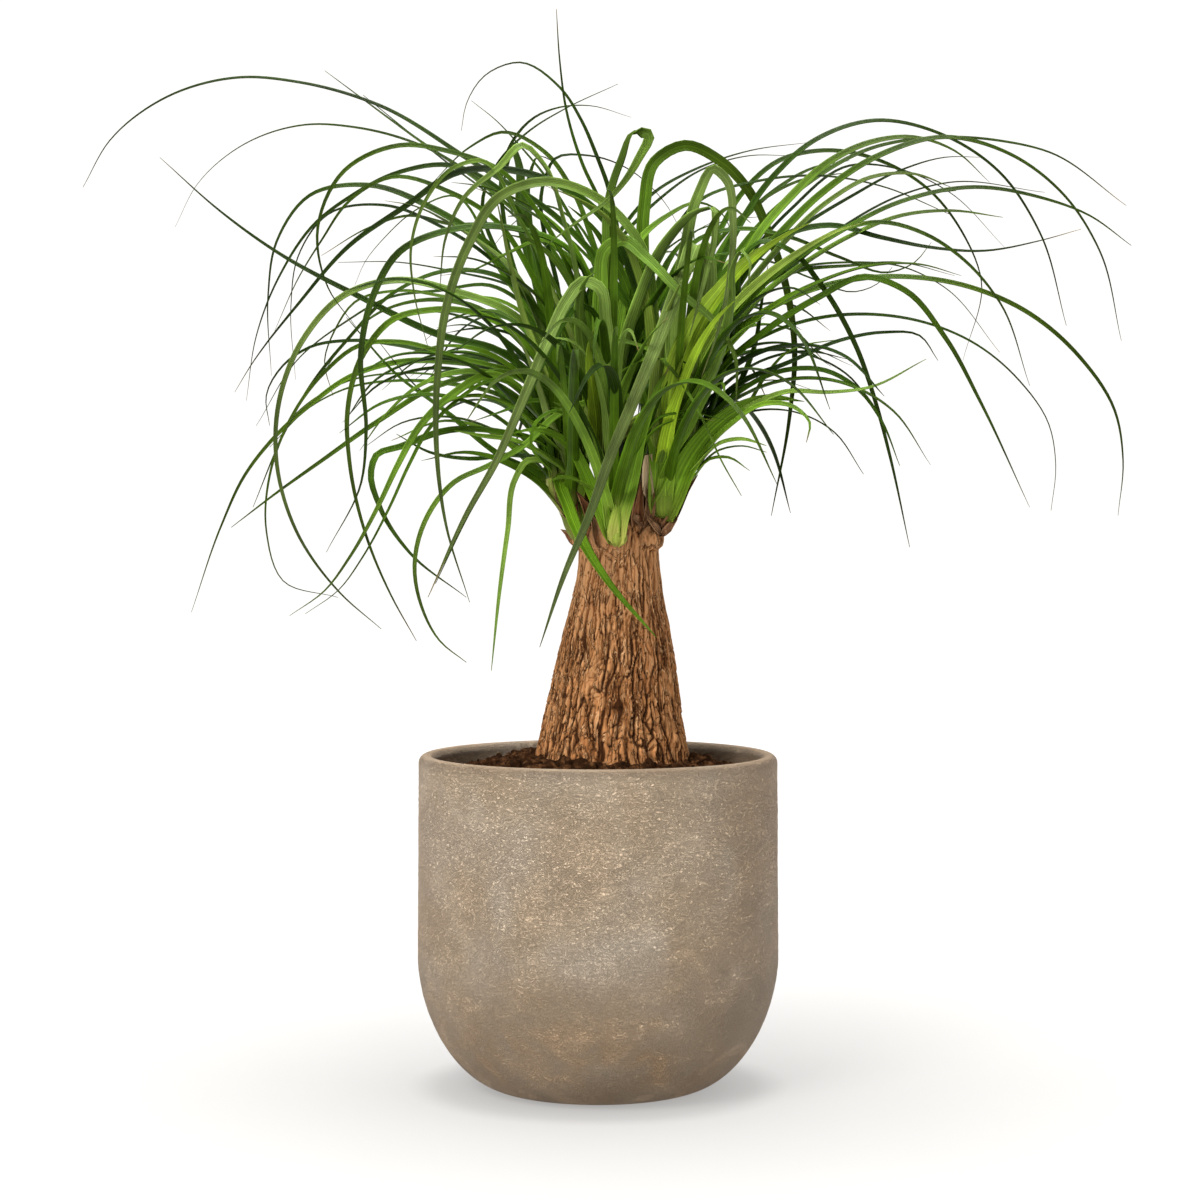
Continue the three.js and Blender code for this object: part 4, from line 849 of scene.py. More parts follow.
def head_piece(name, seed, material):
    """All leaves of a head round its core, as one piece: those of the CAD model, broad ones in
    the middle, fillers set round it by rule, and thin ones beside every sixth leaf that reaches
    far to a side. The two heads seen best have swollen feet and sheaths too."""
    head = HEADS[name]
    solid_points = node_points(name)
    draws = seeded_draws(seed + 40)
    parts = [core_mesh(head)]
    routes = []
    for place, (width, turn, depth, seen) in enumerate(PLACED_LEAVES[name]):
        points = kept_try(lambda shift: placed_points(head, depth + shift, seen), DEPTH_TRIES,
                          solid_points)
        if points is not None:
            share, turn, tone = SEEN_BEST.get(name, {}).get(place, (PLACED_SHARE, turn, None))
            # Darker tones for leaves further back, brighter at the front: painted shade and light
            tones = next(tones for limit, tones in PLACED_DEPTH_SHADED_TONES if depth < limit)
            routes.append((points, share * width, turn, (tone, tone) if tone else tones))
    for leaf in spiral_leaves(head, seed, head["extra"]):
        points = kept_try(lambda shift: spiral_points(head, leaf, shift), ANGLE_TRIES,
                          solid_points)
        if points is not None:
            reach = points[-1] - points[0]
            share, turn, tones = SPIRAL_SHARE, leaf["turn"], SPIRAL_SHADED_TONES
            if abs(reach[0]) < FORWARD_REACH and reach[1] < 0:
                share, turn, tones = FORWARD_LOOK
            routes.append((points, share * leaf["width"], turn, tones))
    thin = [(companion(points, draws), 0.35 * width + 0.6, turn, COMPANION_TONES)
            for points, width, turn, _ in routes[::6] if abs(points[-1, 0]) > COMPANION_REACH]
    for width, turn, depth, tone, seen in BROAD_LEAVES[name]:
        points = np.vstack(placed_points(head, depth, seen))
        routes.append((points, width, turn, (tone, tone)))
    for leaf in spiral_leaves(head, seed + 20, FILLERS[name]):
        points = np.vstack(spiral_points(head, leaf, 0))
        thin.append((points, SPIRAL_SHARE * leaf["width"], leaf["turn"], FILLER_SHADED_TONES))
    routes += [row for row in thin if inside_cad(row[0])]
    parts += [blade_mesh(points, width, turn, draws, tones)
              for points, width, turn, tones in routes]
    if name in BULBS:
        parts.append(bulb_mesh(*BULBS[name]))
    for width, pale, points in SHEATHS.get(name, []):
        parts.append(blade_mesh(points, width, 0.75, draws, (0.5, 0.75), 0.35, dry=pale))
    points, faces, marks = joined(parts)
    put_mesh(name + "_leaves", points, faces, material, [name], marks)


def lathed(profile, sides):
    """Points and faces of a profile of radius, height pairs turned round the Z axis. The
    profile starts and ends on the axis."""
    profile = np.asarray(profile, float)
    rings = profile[1:-1]
    ends = [[0, 0, profile[0, 1]], [0, 0, profile[-1, 1]]]
    points = np.vstack([level_rings(rings[:, 0], rings[:, 1], sides), ends])
    low, high = len(points) - 2, len(points) - 1
    last = (len(rings) - 1) * sides
    faces = ring_faces(len(rings), sides)[:-2]
    faces += [[low, (side + 1) % sides, side] for side in range(sides)]
    faces += [[high, last + side, last + (side + 1) % sides] for side in range(sides)]
    return points, faces


def lower_bend(height, inset):
    """Outer radius of the rounded lower part: the foot's plus the rest times
    (1 - drop^p)^(1/p), where drop is the share of the bend left above."""
    drop = 1 - (height - inset) / (LOWER_BEND_HEIGHT - inset)
    reach = (1 - np.clip(drop, 0, 1) ** LOWER_BEND_POWER) ** (1 / LOWER_BEND_POWER)
    return FOOT_RADIUS + (POT_RADIUS - FOOT_RADIUS - inset) * reach


def inner_wall(gap, top):
    """Radius, height pairs of the pot's inside, from the top down to the axis."""
    wall = POT_RADIUS - POT_WALL - gap
    floor = POT_FLOOR + gap
    heights = floor + (LOWER_BEND_HEIGHT - floor) * np.linspace(1, 0.01, 24) ** 1.4
    radii = np.minimum(lower_bend(heights, POT_WALL) - gap, wall)
    upper = np.linspace(top, LOWER_BEND_HEIGHT, 40, endpoint=False)
    return [(wall, h) for h in upper] + list(zip(radii, heights)) \
        + [(FOOT_RADIUS - gap, floor), (0, floor)]


def pot_relief(points):
    """Points of the pot moved by the trowelled surface of its outside: level ridges of
    stretched, warped noise half a millimetre high, which fade out at the rim and near the foot,
    on a swell of a quarter of a millimetre."""
    radius = np.hypot(points[:, 0], points[:, 1])
    z = points[:, 2]
    outside = (radius > lower_bend(np.minimum(z, LOWER_BEND_HEIGHT), 0) - 1.5) & (z > 0.5)
    band = graded(z, 22, 40) * graded(z, 191, 185)
    warp = layered_noise(points, 38, 3) * 26
    ridges = np.abs(2 * layered_noise(points + np.outer(warp, UP), (15, 15, 5), 7, 4) - 1)
    swell = layered_noise(points, 46, 11, 2) - 0.5
    push = np.where(outside, band * 0.5 * (ridges - 0.35) + 0.25 * swell, 0)
    out = points[:, :2] / np.maximum(radius, 1)[:, None]
    points = points.copy()
    points[:, :2] += out * push[:, None]
    return points


def pot_piece(material):
    """The pot: its outer profile, which leans in by 0.5 mm over its upper 115 mm, a rounded rim
    and its inner profile, turned."""
    heights = LOWER_BEND_HEIGHT * np.linspace(0, 1, 70)[1:] ** 1.6
    outer = [(0, 0)] + [(r, 0) for r in np.linspace(6, FOOT_RADIUS, 8)]
    outer += list(zip(lower_bend(heights, 0), heights))
    outer += [(POT_RADIUS - 0.5 * (h - LOWER_BEND_HEIGHT) / 115, h)
              for h in np.linspace(LOWER_BEND_HEIGHT, POT_HEIGHT - RIM_ROUND, 90)[1:]]
    crest = POT_RADIUS - 0.5 - POT_WALL / 2
    turns = np.radians(np.linspace(0, 180, 22)[1:-1])
    outer += [(crest + POT_WALL / 2 * np.cos(t), POT_HEIGHT - RIM_ROUND + RIM_ROUND * np.sin(t))
              for t in turns]
    points, faces = lathed(outer + inner_wall(0, POT_HEIGHT - RIM_ROUND - 1), RIM_SIDES)
    put_mesh("pot_shell", pot_relief(points), faces, material, ["pot"])


def stem_at(heights):
    """The stem's radius and the sideways place of its middle at heights between its stations."""
    return [np.interp(heights, STEM_STATIONS[:, 0], STEM_STATIONS[:, k]) for k in (1, 2)]


def soil_height(points):
    """Crumbly ground: it falls from the stem to the wall, with the CAD model's crossing waves
    and three sizes of noise for its crumbs."""
    x, y = points[:, 0], points[:, 1]
    lumps = 1.5 * np.sin(0.29 * x + 0.7) * np.cos(0.33 * y - 0.4) \
        + 0.9 * np.sin(0.47 * x - 0.38 * y + 1.9) + 0.7 * np.cos(0.21 * x + 0.52 * y)
    flat = np.stack([x, y, np.zeros_like(x)], 1)
    crumbs = 3.2 * (layered_noise(flat, 9, 21, 4) - 0.5)
    return SOIL_AT_WALL + SOIL_RISE * (1 - np.hypot(x, y) / POT_RADIUS) + lumps + crumbs


def soil_piece(material):
    """The soil: a closed body from its floor up the pot's wall, over its crumbly top and down
    a round hole that the stem stands in, past the stem's five lowest stations."""
    wall = inner_wall(CLEARANCE, SOIL_AT_WALL - 4)[::-1]
    angle = np.linspace(0, FULL_TURN, 300, endpoint=False)
    ring = np.stack([np.cos(angle), np.sin(angle), np.zeros_like(angle)], 1)
    rings = [ring * r + [0, 0, h] for r, h in wall[1:]]
    mouth = stem_at(MOUTH_HEIGHT)[0] + HOLE_GAP
    radius_at_wall = wall[-1][0]
    for share in np.linspace(0, 1, 90):
        points = ring * (radius_at_wall + (mouth - radius_at_wall) * share)
        points = points + [MOUTH_EAST * share, 0, 0]
        points[:, 2] = soil_height(points)
        rings.append(points)
    for height, radius, middle in STEM_STATIONS[4::-1]:
        grown = radius + (HOLE_GAP if height > STEM_STATIONS[0, 0] else 0)
        rings.append(ring * grown + [middle, 0, height - 0.6])
    faces = ring_faces(len(rings), len(angle))
    put_mesh("soil_bed", np.vstack(rings), faces, material, ["soil"])


def clod_shape():
    """Points and faces of a small ball of triangles, on a unit sphere."""
    ball = bmesh.new()
    bmesh.ops.create_icosphere(ball, subdivisions=2, radius=1)
    points = np.array([v.co for v in ball.verts])
    faces = [[v.index for v in face.verts] for face in ball.faces]
    ball.free()
    return points, faces


def clods_piece(material):
    """Crumbs of soil and bits of bark that lie on the bed: balls stretched, turned and
    roughened by noise, at seeded places between the stem and the wall. Most of them are small."""
    rng = np.random.default_rng(12)
    ball, ball_faces = clod_shape()
    parts = []
    for number in range(CRUMBS):
        angle = rng.uniform(0, FULL_TURN)
        reach = 52 + 42 * rng.uniform() ** 0.8
        size = 0.8 + 2.6 * rng.uniform() ** 3
        place = np.array([[MOUTH_EAST * (1 - reach / BED_RADIUS) + reach * np.cos(angle),
                           reach * np.sin(angle), 0.0]])
        if np.hypot(*place[0, :2]) > BED_RADIUS - 2 - size:
            continue
        place[0, 2] = soil_height(place)[0] + 0.25 * size
        stretch = rng.uniform(0.6, 1.4, 3)
        turn = np.linalg.qr(rng.normal(size=(3, 3)))[0]
        turn *= np.sign(np.linalg.det(turn))
        rough = 1 + 0.55 * (soft_noise(ball * 10 + number * 7, 6, 5) - 0.5)
        points = (ball * rough[:, None] * stretch * size) @ turn.T + place
        parts.append((points, ball_faces, {"tone": rng.uniform()}))
    points, faces, marks = joined(parts)
    put_mesh("soil_crumbs", points, faces, material, [], marks)


def bar_mesh(start, end, start_radius, end_radius):
    """A round bar between two points, of a radius at each end."""
    start, end = np.array(start, float), np.array(end, float)
    ring = ring_round(unit(end - start), [-0.3, -1, -0.1], BAR_SIDES)
    points = np.vstack([start + ring * start_radius, end + ring * end_radius])
    return points, ring_faces(2, BAR_SIDES), {}


def knob_mesh(place, radius):
    """A knob of the stem: a ball, a little flatter upright."""
    ball, faces = clod_shape()
    return ball * radius * [1, 1, 0.95] + np.array(place, float), faces, {}


def stem_mesh(low, high):
    """The stem without its bark, between two heights: rings read off its stations at every
    3 mm. Two smaller rings round off its top, or one its bottom."""
    heights = np.arange(low, high, 3.0)
    radii = stem_at(heights)[0]
    if high > STEM_STATIONS[-1, 0]:
        heights = np.append(heights, [STEM_TOP - 3, STEM_TOP - 0.5])
        radii = np.append(radii, [19, 10])
    else:
        heights = np.append(STEM_BOTTOM, heights)
        radii = np.append(12, radii)
    points = level_rings(radii, heights, STEM_SIDES, stem_at(heights)[1])
    return points, ring_faces(len(heights), STEM_SIDES), {}


def fused(parts, cell, relax):
    """Overlapping closed parts made one skin of small even squares, then relaxed."""
    points, faces, _ = joined(parts)
    blank = put_object("fused", smooth_mesh("fused", points, faces))
    remesh = blank.modifiers.new("even", "REMESH")
    remesh.mode = "VOXEL"
    remesh.voxel_size = cell * MM
    soften = blank.modifiers.new("soften", "SMOOTH")
    soften.iterations = relax
    done = bpy.data.meshes.new_from_object(
        blank.evaluated_get(bpy.context.evaluated_depsgraph_get()))
    bpy.data.objects.remove(blank)
    return done


def on_post(angle, height):
    """The place at an angle and a height on the round post that patterns are worked out on."""
    return np.stack([POST * np.cos(angle), POST * np.sin(angle), height], 1)


def stem_angle(points):
    """Angle of each point round the stem's middle, shifted by two sizes of noise, so that what
    runs up the stem wavers."""
    angle = np.arctan2(points[:, 1], points[:, 0] - stem_at(points[:, 2])[1])
    post = on_post(angle, points[:, 2])
    slide = 10 * (layered_noise(post, (15, 15, 30), 31, 2) - 0.5) \
        + 4.6 * (layered_noise(post, (6, 6, 10), 37, 2) - 0.5)
    return angle + slide / POST


def crease_lines(angle, height, cell, seed, width):
    """Lines of one width where a long upright noise on a round post crosses its middle value:
    1 on the line, falling to 0 at the width. The distance is the noise's distance from the
    middle value over its slope, taken from steps of 0.3 mm across and up."""
    step = 0.3
    here, across, above = (
        soft_noise(on_post(angle + turn / POST, height + rise), cell, seed) - 0.5
        for turn, rise in ((0, 0), (step, 0), (0, step)))
    slope = np.hypot(across - here, above - here) / step
    return np.clip(1 - np.abs(here) / np.maximum(slope, 0.006) / width, 0, 1)


def bark_relief(points):
    """Corky bark, in millimetres inwards, and painted shade from 0 to 1: more the deeper a point
    lies in a crease, and under the proud lower end of a plate.
    Creases of four sizes waver up the stem. Between them each ridge is a row of plates, whose
    lower end stands proud: a sawtooth of the height, moved up or down from ridge to ridge. All
    of it fades towards the smooth neck."""
    angle, z = stem_angle(points), points[:, 2]
    post = on_post(angle, z)
    wide = crease_lines(angle, z, (5.0, 5.0, 38), 43, 1.15)
    middle = crease_lines(angle, z, (2.6, 2.6, 20), 47, 0.8)
    fine = crease_lines(angle, z, (1.8, 1.8, 12), 49, 0.62)
    short = crease_lines(angle, z, (2.6, 2.6, 8), 53, 0.7)
    phase = z / PLATE_HEIGHT + 3.2 * soft_noise(post, (2.6, 2.6, 60), 61) \
        + 0.6 * soft_noise(post, (9, 9, 16), 67)
    plate = phase - np.floor(phase)
    low = graded(z, 285, 210)
    rough = 0.34 + 0.66 * graded(z, 322, 262)
    step = (0.2 + 0.8 * low) * plate ** 1.4
    # Painted shadow in the hollow just under the proud lower end of the plate above: it only
    # darkens the colour
    lip = graded(plate, 0.88, 1) * (0.25 + 0.75 * low)
    grain = layered_noise(post, (1.5, 1.5, 6), 59, 2) - 0.5
    short = short * (0.25 + 0.75 * low)
    depth = rough * (1.15 * wide + 0.95 * middle + 0.6 * fine + 0.75 * short + step
                     - 0.6 * grain)
    # Painted shade: how much darker the colour is in the creases and under the plates
    crease = np.clip((0.4 + 0.6 * rough) * (0.9 * wide + 0.8 * middle + 0.6 * fine
                                            + 0.55 * short + 0.6 * lip), 0, 1.2)
    return depth, crease


def bark_piece(material):
    """The stem with its arms, knobs and dry stump fused to one skin, pushed in by the bark's
    relief along its own normals."""
    parts = [stem_mesh(BARK_FOOT, 336)]
    parts += [knob_mesh(knob[:3], knob[3]) for knob in KNOBS]
    parts += [bar_mesh(head["foot"], np.array(head["base"]) + head_axis(head) * 0.5,
                       head["radius"] + 3, head["radius"] + 1.2) for head in HEADS.values()]
    parts.append(bar_mesh(STUMP_FOOT, STUMP_TIP, STUMP_RADIUS, 1.4))
    mesh = fused(parts, BARK_CELL, 3)
    points = vertex_rows(mesh, "co") / MM
    depth, crease = bark_relief(points)
    tint = soft_noise(on_post(stem_angle(points), points[:, 2]), (1.7, 1.7, 15), 71)
    points += vertex_rows(mesh, "normal") * (0.9 - depth)[:, None]
    faces = [list(polygon.vertices) for polygon in mesh.polygons]
    # The crease mark darkens the colour as painted shade
    put_mesh("bark", points, faces, material, ["trunk"],
             # ridge: how high the bark stands, which the colour lightens as a painted highlight
             {"crease": crease, "tint": tint, "ridge": np.clip(1 - depth, 0, 1)})


def buried_piece(material):
    """The buried foot of the stem, plain, up into the barked part."""
    points, faces, _ = stem_mesh(STEM_BOTTOM + 3, BARK_FOOT + 3)
    put_mesh("buried_foot", points, faces, material, ["trunk"],
             {"crease": 0, "tint": 0, "ridge": 0})


def husks_piece(material):
    """Dry husks and scales at the feet of the heads: narrow curled blades. The scales stand
    round each core, but not in front of the front head, and the left head's are short."""
    draws = seeded_draws(77)
    parts = [blade_mesh(points, width, 0.6, draws, dry=pale, **HUSK_FORM)
             for width, pale, points in HUSKS]
    for order, (name, head) in enumerate(HEADS.items()):
        draw = seeded_draws(order + 1)
        short = 0.6 if name == "head_left" else 1
        for i in range(head["scales"]):
            axis, out, point = on_core(head, 0, i * GOLDEN_ANGLE * 1.55 + order + 1)
            if name == "head_front" and out[1] < 0:
                continue
            reach = 14 + 16 * next(draw)
            tip = 5 + 4 * next(draw)
            width = 9 + 3 * next(draw)
            profile = [(-5, 0.5), (5 * short, 2.2 * short), (0.6 * reach * short, 3 * short),
                       (reach * short, tip * short)]
            route = [point + axis * height + out * (head["radius"] + distance)
                     for height, distance in profile]
            parts.append(blade_mesh(route, width, 0, draws, dry=0, **HUSK_FORM))
    points, faces, marks = joined(parts)
    put_mesh("dry_husks", points, faces, material, ["trunk"], marks)


class Paint:
    """Helps to write a material as nodes joined to each other. Places are in metres."""

    def __init__(self, name, roughness, specular):
        self.material = bpy.data.materials.new(name)
        self.material.use_nodes = True
        self.tree = self.material.node_tree
        self.shader = self.tree.nodes["Principled BSDF"]
        self.shader.inputs["Roughness"].default_value = roughness
        self.shader.inputs["Specular IOR Level"].default_value = specular
        self.place = self.node("TexCoord", {}, "Object")

    def link(self, value, socket):
        """Joins an output to a socket, or sets the socket to a value."""
        if isinstance(value, bpy.types.NodeSocket):
            self.tree.links.new(value, socket)
        else:
            socket.default_value = value

    def node(self, kind, inputs, output=0, **settings):
        """An output of a new node, with its settings set and its inputs joined or set."""
        node = self.tree.nodes.new("ShaderNode" + kind)
        for name, value in settings.items():
            setattr(node, name, value)
        for socket, value in inputs.items():
            self.link(value, node.inputs[socket])
        return node.outputs[output]

    def mark(self, name):
        """The numbers that a mesh holds under a name."""
        return self.node("Attribute", {}, "Fac", attribute_name=name)

    def axis(self, name):
        """A point's place along X, Y or Z."""
        return self.node("SeparateXYZ", {0: self.place}, name)

    def math(self, operation, first, second=0.0, clamp=False):
        """One operation on two numbers, held between 0 and 1 if clamped."""
        return self.node("Math", {0: first, 1: second}, operation=operation, use_clamp=clamp)

    def times(self, first, second, clamp=False):
        """One number times another."""
        return self.math("MULTIPLY", first, second, clamp)

    def plus(self, first, second):
        """One number plus another."""
        return self.math("ADD", first, second)

    def away(self, value, middle=0.0):
        """How far a number is from a middle, on either side."""
        return self.math("ABSOLUTE", self.math("SUBTRACT", value, middle))

    def noise(self, scale, detail=3.0, roughness=0.5, distortion=0.0):
        """Cloudy noise between 0 and 1, with one scale or with one for each of X, Y and Z."""
        place = self.place
        if isinstance(scale, tuple):
            place, scale = self.node("Mapping", {"Vector": place, "Scale": scale}), 1.0
        return self.node("TexNoise", {"Vector": place, "Scale": scale, "Detail": detail,
                                      "Roughness": roughness, "Distortion": distortion}, "Fac")

    def span(self, value, low, high, to_low=0.0, to_high=1.0):
        """A number that goes from one end to the other as the value goes from low to high, and
        is level beyond."""
        return self.node("MapRange", {"Value": value, "From Min": low, "From Max": high,
                                      "To Min": to_low, "To Max": to_high}, "Result")

    def ramp(self, value, stops):
        """A colour read off a row of stops, each a position and a colour."""
        colour = self.node("ValToRGB", {"Fac": value}, "Color")
        elements = colour.node.color_ramp.elements
        while len(elements) < len(stops):
            elements.new(0.5)
        for element, (position, shade) in zip(elements, stops):
            element.position = position
            element.color = (*shade, 1)
        return colour

    def mixed(self, share, first, second, blend="MIX"):
        """The first colour with a share of the second mixed in."""
        first, second = (value if isinstance(value, bpy.types.NodeSocket) else (*value, 1)
                         for value in (first, second))
        return self.node("Mix", {0: share, 6: first, 7: second}, 2, data_type="RGBA",
                         blend_type=blend)

    def tinted(self, colour, tint):
        """A colour times another one, or times a number."""
        return self.mixed(1, colour, tint, "MULTIPLY")

    def layered(self, colour, layers):
        """A colour under layers, each a share and the colour that it mixes in."""
        for share, layer in layers:
            colour = self.mixed(share, colour, layer)
        return colour

    def finish(self, colour, height=None, distance=0.0, strength=1.0, roughness=None):
        """The material with its colour, a bumpy height if one is given, and its roughness."""
        self.link(colour, self.shader.inputs["Base Color"])
        if roughness is not None:
            self.link(roughness, self.shader.inputs["Roughness"])
        if height is not None:
            bump = self.node("Bump", {"Strength": strength, "Distance": distance,
                                      "Height": height}, "Normal")
            self.link(bump, self.shader.inputs["Normal"])
        return self.material


def leaf_material():
    """Green blades. Each leaf has a tone, from bluish dark to yellowish bright, which holds painted
    light and shade: low tones stand partly for leaves in shade, the greyish ones near 0.9 are a
    painted sheen and the brightest yellow green is painted light shining through the leaf. All
    are brighter near the root, partly as painted light shining through the inner leaves of the
    crown, and darker by the millimetres from it, with a little dull green towards the tip. Fine
    parallel veins, a paler midrib and paler edges run along them, and the back is darker, as
    painted shade. The first 30 mm are pale yellow, most of all where the leaf is dry, and the
    driest leaves have brown tips. The marks give the share of the length, the place across the
    blade, the millimetres from the root, the tone, how dry it is, and its back."""
    paint = Paint("leaf_green", 0.38, 0.05)
    run, across, dry = paint.mark("run"), paint.mark("across"), paint.mark("dry")
    from_root = paint.mark("from_root")
    # Tones 0.85 and 0.93 are greyish, a painted sheen; tone 1 is a bright yellow green, painted
    # light shining through the leaf
    green = paint.ramp(paint.mark("tone"), [
        (0, (0.016, 0.045, 0.003)), (0.25, (0.046, 0.11, 0.006)), (0.5, (0.088, 0.185, 0.01)),
        (0.7, (0.14, 0.265, 0.03)), (0.85, (0.195, 0.31, 0.07)), (0.93, (0.25, 0.355, 0.11)),
        (1, (0.31, 0.49, 0.035)),
    ])
    # Brighter near the root, partly as painted light shining through the inner leaves of the crown
    green = paint.tinted(green, paint.ramp(paint.span(from_root, 0, 500), [
        (0, (1.25, 1.15, 0.9)), (0.14, (1.05, 1, 0.8)), (0.28, (0.76, 0.74, 0.65)),
        (0.48, (0.38, 0.33, 0.36)), (1, (0.2, 0.17, 0.23)),
    ]))
    veins = paint.math("SINE", paint.times(across, 24))
    midrib = paint.span(paint.away(across), 0, 0.13, 0.6, 0)
    edge = paint.span(paint.away(across), 0.82, 1, 0, 0.9)
    # Veins, midrib and edges, then clouds, then the back, which is darker as painted shade
    for light in (paint.plus(paint.span(veins, -1, 1, 0.85, 1.2), paint.plus(midrib, edge)),
                  paint.span(paint.noise(30), 0.34, 0.66, 0.65, 1.3),
                  paint.span(paint.mark("under"), 0, 1, 1, 0.6)):
        green = paint.tinted(green, light)
    green = paint.layered(green, [
        (paint.span(run, 0.3, 0.95, 0, 0.12), (0.04, 0.072, 0.014)),
        (paint.times(paint.span(from_root, 0, 30, 0.95, 0), paint.span(dry, 0, 1, 0.2, 1)),
         (0.52, 0.5, 0.12)),
        (paint.times(paint.span(run, 0.93, 1), paint.span(dry, 0.72, 0.95), True),
         (0.2, 0.13, 0.05)),
    ])
    return paint.finish(green, veins, 0.00015, 0.6)


def bark_material():
    """Corky bark: clouds of tan, lighter or darker by the tint, with fine upright grain, pale
    ridges that are a painted highlight and dark creases that are painted shade. Thin dark lines run
    up it where upright noise crosses its middle value, painted shade of fine cracks, each with a
    pale rim beside it, a painted highlight on the crack's lit edge. It is dimmer towards the
    crown, and dark brown at the top."""
    paint = Paint("corky_bark", 0.9, 0.04)
    up = paint.axis("Z")
    grain = paint.noise((620, 620, 120), 5, 0.65, 0.5)
    wave = paint.noise((230, 230, 34), 2, 0.5, 1.1)
    # Thin dark lines: painted shade of fine cracks
    lines = paint.span(paint.away(wave, 0.5), 0.006, 0.026, 1, 0)
    # Pale rims beside the dark lines: painted highlight on each crack's lit edge
    lit_rims = paint.span(paint.away(wave, 0.54), 0.004, 0.022, 0.6, 0)
    tan = paint.ramp(paint.noise(26), [
        (0.32, (0.42, 0.165, 0.058)), (0.5, (0.52, 0.225, 0.082)), (0.68, (0.62, 0.29, 0.116)),
    ])
    tan = paint.tinted(tan, paint.ramp(paint.mark("tint"), [
        (0.15, (0.72, 0.68, 0.62)), (0.5, (1, 1, 1)), (0.85, (1.35, 1.36, 1.36)),
    ]))
    tan = paint.mixed(paint.span(grain, 0.35, 0.65, 0, 0.35), tan, (0.2, 0.085, 0.028))
    tan = paint.layered(paint.tinted(tan, paint.span(up, 0.205, 0.255, 1, 0.74)), [
        # Paler where the bark stands high: painted highlight on the raised ridges
        (paint.span(paint.mark("ridge"), 0.55, 1, 0, 0.4), (0.64, 0.37, 0.18)),
        (lit_rims, (0.8, 0.48, 0.245)),
        (paint.times(lines, 0.8), (0.075, 0.026, 0.008)),
        # Dark in the creases and under the plates: painted shade
        (paint.span(paint.mark("crease"), 0.12, 0.85, 0, 0.95), (0.04, 0.014, 0.005)),
        (paint.span(up, 0.333, 0.348, 0, 0.8), (0.085, 0.034, 0.014)),
    ])
    height = paint.plus(paint.math("SUBTRACT", grain, lines), lit_rims)
    return paint.finish(tan, height, 0.0009, 0.9)


def husk_material():
    """Dry papery husk: reddish brown with fibres, darker veins along it and paler edges. The
    pale ones are straw."""
    paint = Paint("dry_husk", 0.8, 0.1)
    across = paint.mark("across")
    fibres = paint.noise((420, 420, 45), 4, 0.6, 0.2)
    veins = paint.math("SINE", paint.times(across, 14))
    colour = paint.ramp(fibres, [
        (0.3, (0.065, 0.022, 0.009)), (0.5, (0.2, 0.078, 0.032)), (0.7, (0.42, 0.2, 0.09)),
    ])
    straw = paint.ramp(fibres, [(0.3, (0.45, 0.3, 0.15)), (0.7, (0.82, 0.66, 0.42))])
    colour = paint.layered(colour, [
        (paint.span(veins, 0.2, 1, 0, 0.4), (0.028, 0.011, 0.006)),
        (paint.span(paint.away(across), 0.72, 1, 0, 0.6), (0.5, 0.29, 0.15)),
        (paint.mark("dry"), straw),
    ])
    return paint.finish(colour, paint.plus(fibres, paint.times(veins, 0.3)), 0.0006, 0.8)


def soil_material():
    """Damp potting soil: near black brown with reddish crumbs."""
    paint = Paint("potting_soil", 0.95, 0.05)
    crumbs = paint.noise(190, 4, 0.6)
    colour = paint.ramp(crumbs, [
        (0.3, (0.012, 0.005, 0.002)), (0.5, (0.038, 0.015, 0.005)), (0.68, (0.15, 0.068, 0.028)),
    ])
    return paint.finish(colour, paint.plus(paint.noise(700, 4, 0.7), crumbs), 0.0012, 0.9)


